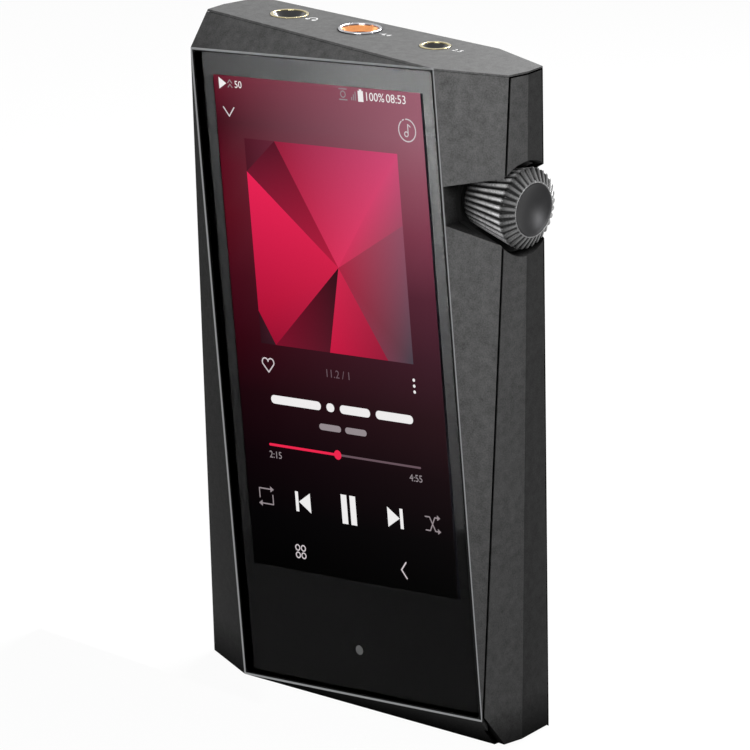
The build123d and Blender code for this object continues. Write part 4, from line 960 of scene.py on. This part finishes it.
world = bpy.data.worlds.new("studio")
bpy.context.scene.world = world
world.use_nodes = True
tree = world.node_tree
backdrop = tree.nodes["Background"]
backdrop.inputs["Color"].default_value = (1.0, 1.0, 1.0, 1.0)
backdrop.inputs["Strength"].default_value = 1.0
room = add_node(tree, "ShaderNodeBackground")
room.inputs["Color"].default_value = (1.0, 1.0, 1.0, 1.0)
room.inputs["Strength"].default_value = ROOM_LIGHT
rays = add_node(tree, "ShaderNodeLightPath")
sharp = math_node(tree, "MAXIMUM", rays.outputs["Is Camera Ray"], rays.outputs["Is Glossy Ray"])
sharp = math_node(tree, "MAXIMUM", sharp, rays.outputs["Is Transmission Ray"])
seen = add_node(tree, "ShaderNodeMixShader")
tree.links.new(sharp, seen.inputs["Fac"])
tree.links.new(room.outputs["Background"], seen.inputs[1])
tree.links.new(backdrop.outputs["Background"], seen.inputs[2])
tree.links.new(seen.outputs["Shader"], tree.nodes["World Output"].inputs["Surface"])


def bearing(azimuth, elevation):
    """The direction from the player towards a bearing in degrees; 0 is straight in front."""
    a, e = radians(azimuth), radians(elevation)
    return Vector((sin(a) * cos(e), -cos(a) * cos(e), sin(e)))


def add_softbox(name, azimuth, elevation, distance, width, height, power, aim):
    """A rectangular light at a bearing round a point that it faces, in metres and watts."""
    light = bpy.data.lights.new(name, "AREA")
    light.shape = "RECTANGLE"
    light.size = width
    light.size_y = height
    light.energy = power
    box = bpy.data.objects.new(name, light)
    bpy.context.scene.collection.objects.link(box)
    towards = bearing(azimuth, elevation)
    box.location = aim + towards * distance
    box.rotation_euler = towards.to_track_quat("Z", "Y").to_euler()
    box.visible_camera = False
    return box


middle = (cad_box[0] + cad_box[1]) / 2
crown = Vector((0.012, 0.0, cad_box[1].z))
add_softbox("back_softbox", 206, 30, 0.45, 0.22, 0.22, 5.6, crown + Vector((0.095, 0.0, 0.0)))
add_softbox("key_softbox", 23, 17, 0.150, 0.10, 0.10, 0.32, crown + Vector((0.014, 0.0, -0.004)))
add_softbox("side_strip", 116, 3, 0.30, 0.05, 0.10, 0.26, crown - Vector((0.0, 0.0, 0.022)))
add_softbox("left_fill", 278, 18, 0.50, 0.30, 0.30, 0.25, middle)

# A black flag between the key and the left side keeps the narrow left facet dark. It only casts
# its shadow, and its edge runs along the tilted front.
FLAG_GAP = 8
FLAG_OUTLINE = ((-60, -10), (-8, -10), (-20, 106), (-60, 106))
flag_y = cad_box[0].y - FLAG_GAP * MM
flag_mesh = bpy.data.meshes.new("flag")
flag_mesh.from_pydata([(x * MM, flag_y, z * MM) for x, z in FLAG_OUTLINE], [], [(0, 1, 2, 3)])
black_card, tree, shader = new_material("black_card")
shader.inputs["Base Color"].default_value = (0.0, 0.0, 0.0, 1.0)
flag_mesh.materials.append(black_card)
flag = bpy.data.objects.new("flag", flag_mesh)
bpy.context.scene.collection.objects.link(flag)
flag.visible_camera = False
flag.visible_glossy = False
flag.visible_transmission = False
flag.visible_diffuse = False

# A graded light panel low at the front left stands where the camera's line of sight is mirrored
# by the front. It lights the pane and its print only, as a soft sheen that fades to the lower left.
VIEW_AZIMUTH, VIEW_ELEVATION = 42.5, 17.7
SHEEN_ACROSS, SHEEN_UP = 0.056, 0.130  # size of the panel, in metres
FADE_ACROSS, FADE_UP = 0.0205, 0.0270  # metres over which its light falls to 1 / e
SHEEN_STRENGTH = 0.0035
sheen = add_softbox("sheen_panel", -VIEW_AZIMUTH, -VIEW_ELEVATION, 0.100, SHEEN_ACROSS, SHEEN_UP,
                    1.0, Vector((0.0, glass_low.y, 0.070)))
sheen.data.use_nodes = True
tree = sheen.data.node_tree
emission = tree.nodes["Emission"]
panel_place = add_node(tree, "ShaderNodeNewGeometry")
face = add_node(tree, "ShaderNodeSeparateXYZ")
tree.links.new(panel_place.outputs["Parametric"], face.inputs[0])
across = math_node(tree, "MULTIPLY", face.outputs["X"], SHEEN_ACROSS / FADE_ACROSS)
up = math_node(tree, "MULTIPLY", face.outputs["Y"], SHEEN_UP / FADE_UP)
graded = math_node(tree, "EXPONENT", math_node(tree, "ADD", across, up))
graded = math_node(tree, "MULTIPLY", graded, SHEEN_STRENGTH)
tree.links.new(graded, emission.inputs["Strength"])
panes = bpy.data.collections.new("sheen_receivers")
for name in ("cover_glass", "glass_mask"):
    panes.objects.link(nodes[name])
sheen.light_linking.receiver_collection = panes

# Camera: a long lens, well back at the front right and a little above.
VIEW_DISTANCE = 0.780
AIM_RIGHT, AIM_UP = 8.45, 3.05  # from the middle of the glass, in millimetres
camera_data = bpy.data.cameras.new("camera")
camera_data.sensor_width = 36.0
camera_data.lens = 240.8
camera_data.clip_start = 0.05
camera_data.clip_end = 50.0
camera = bpy.data.objects.new("camera", camera_data)
bpy.context.scene.collection.objects.link(camera)
aim = Vector((screen_centre.x + AIM_RIGHT * MM, front_low.y, screen_centre.z + AIM_UP * MM))
back = bearing(VIEW_AZIMUTH, VIEW_ELEVATION)
camera.location = aim + back * VIEW_DISTANCE
camera.rotation_euler = back.to_track_quat("Z", "Y").to_euler()
bpy.context.scene.camera = camera
bpy.context.scene.view_settings.view_transform = "Standard"
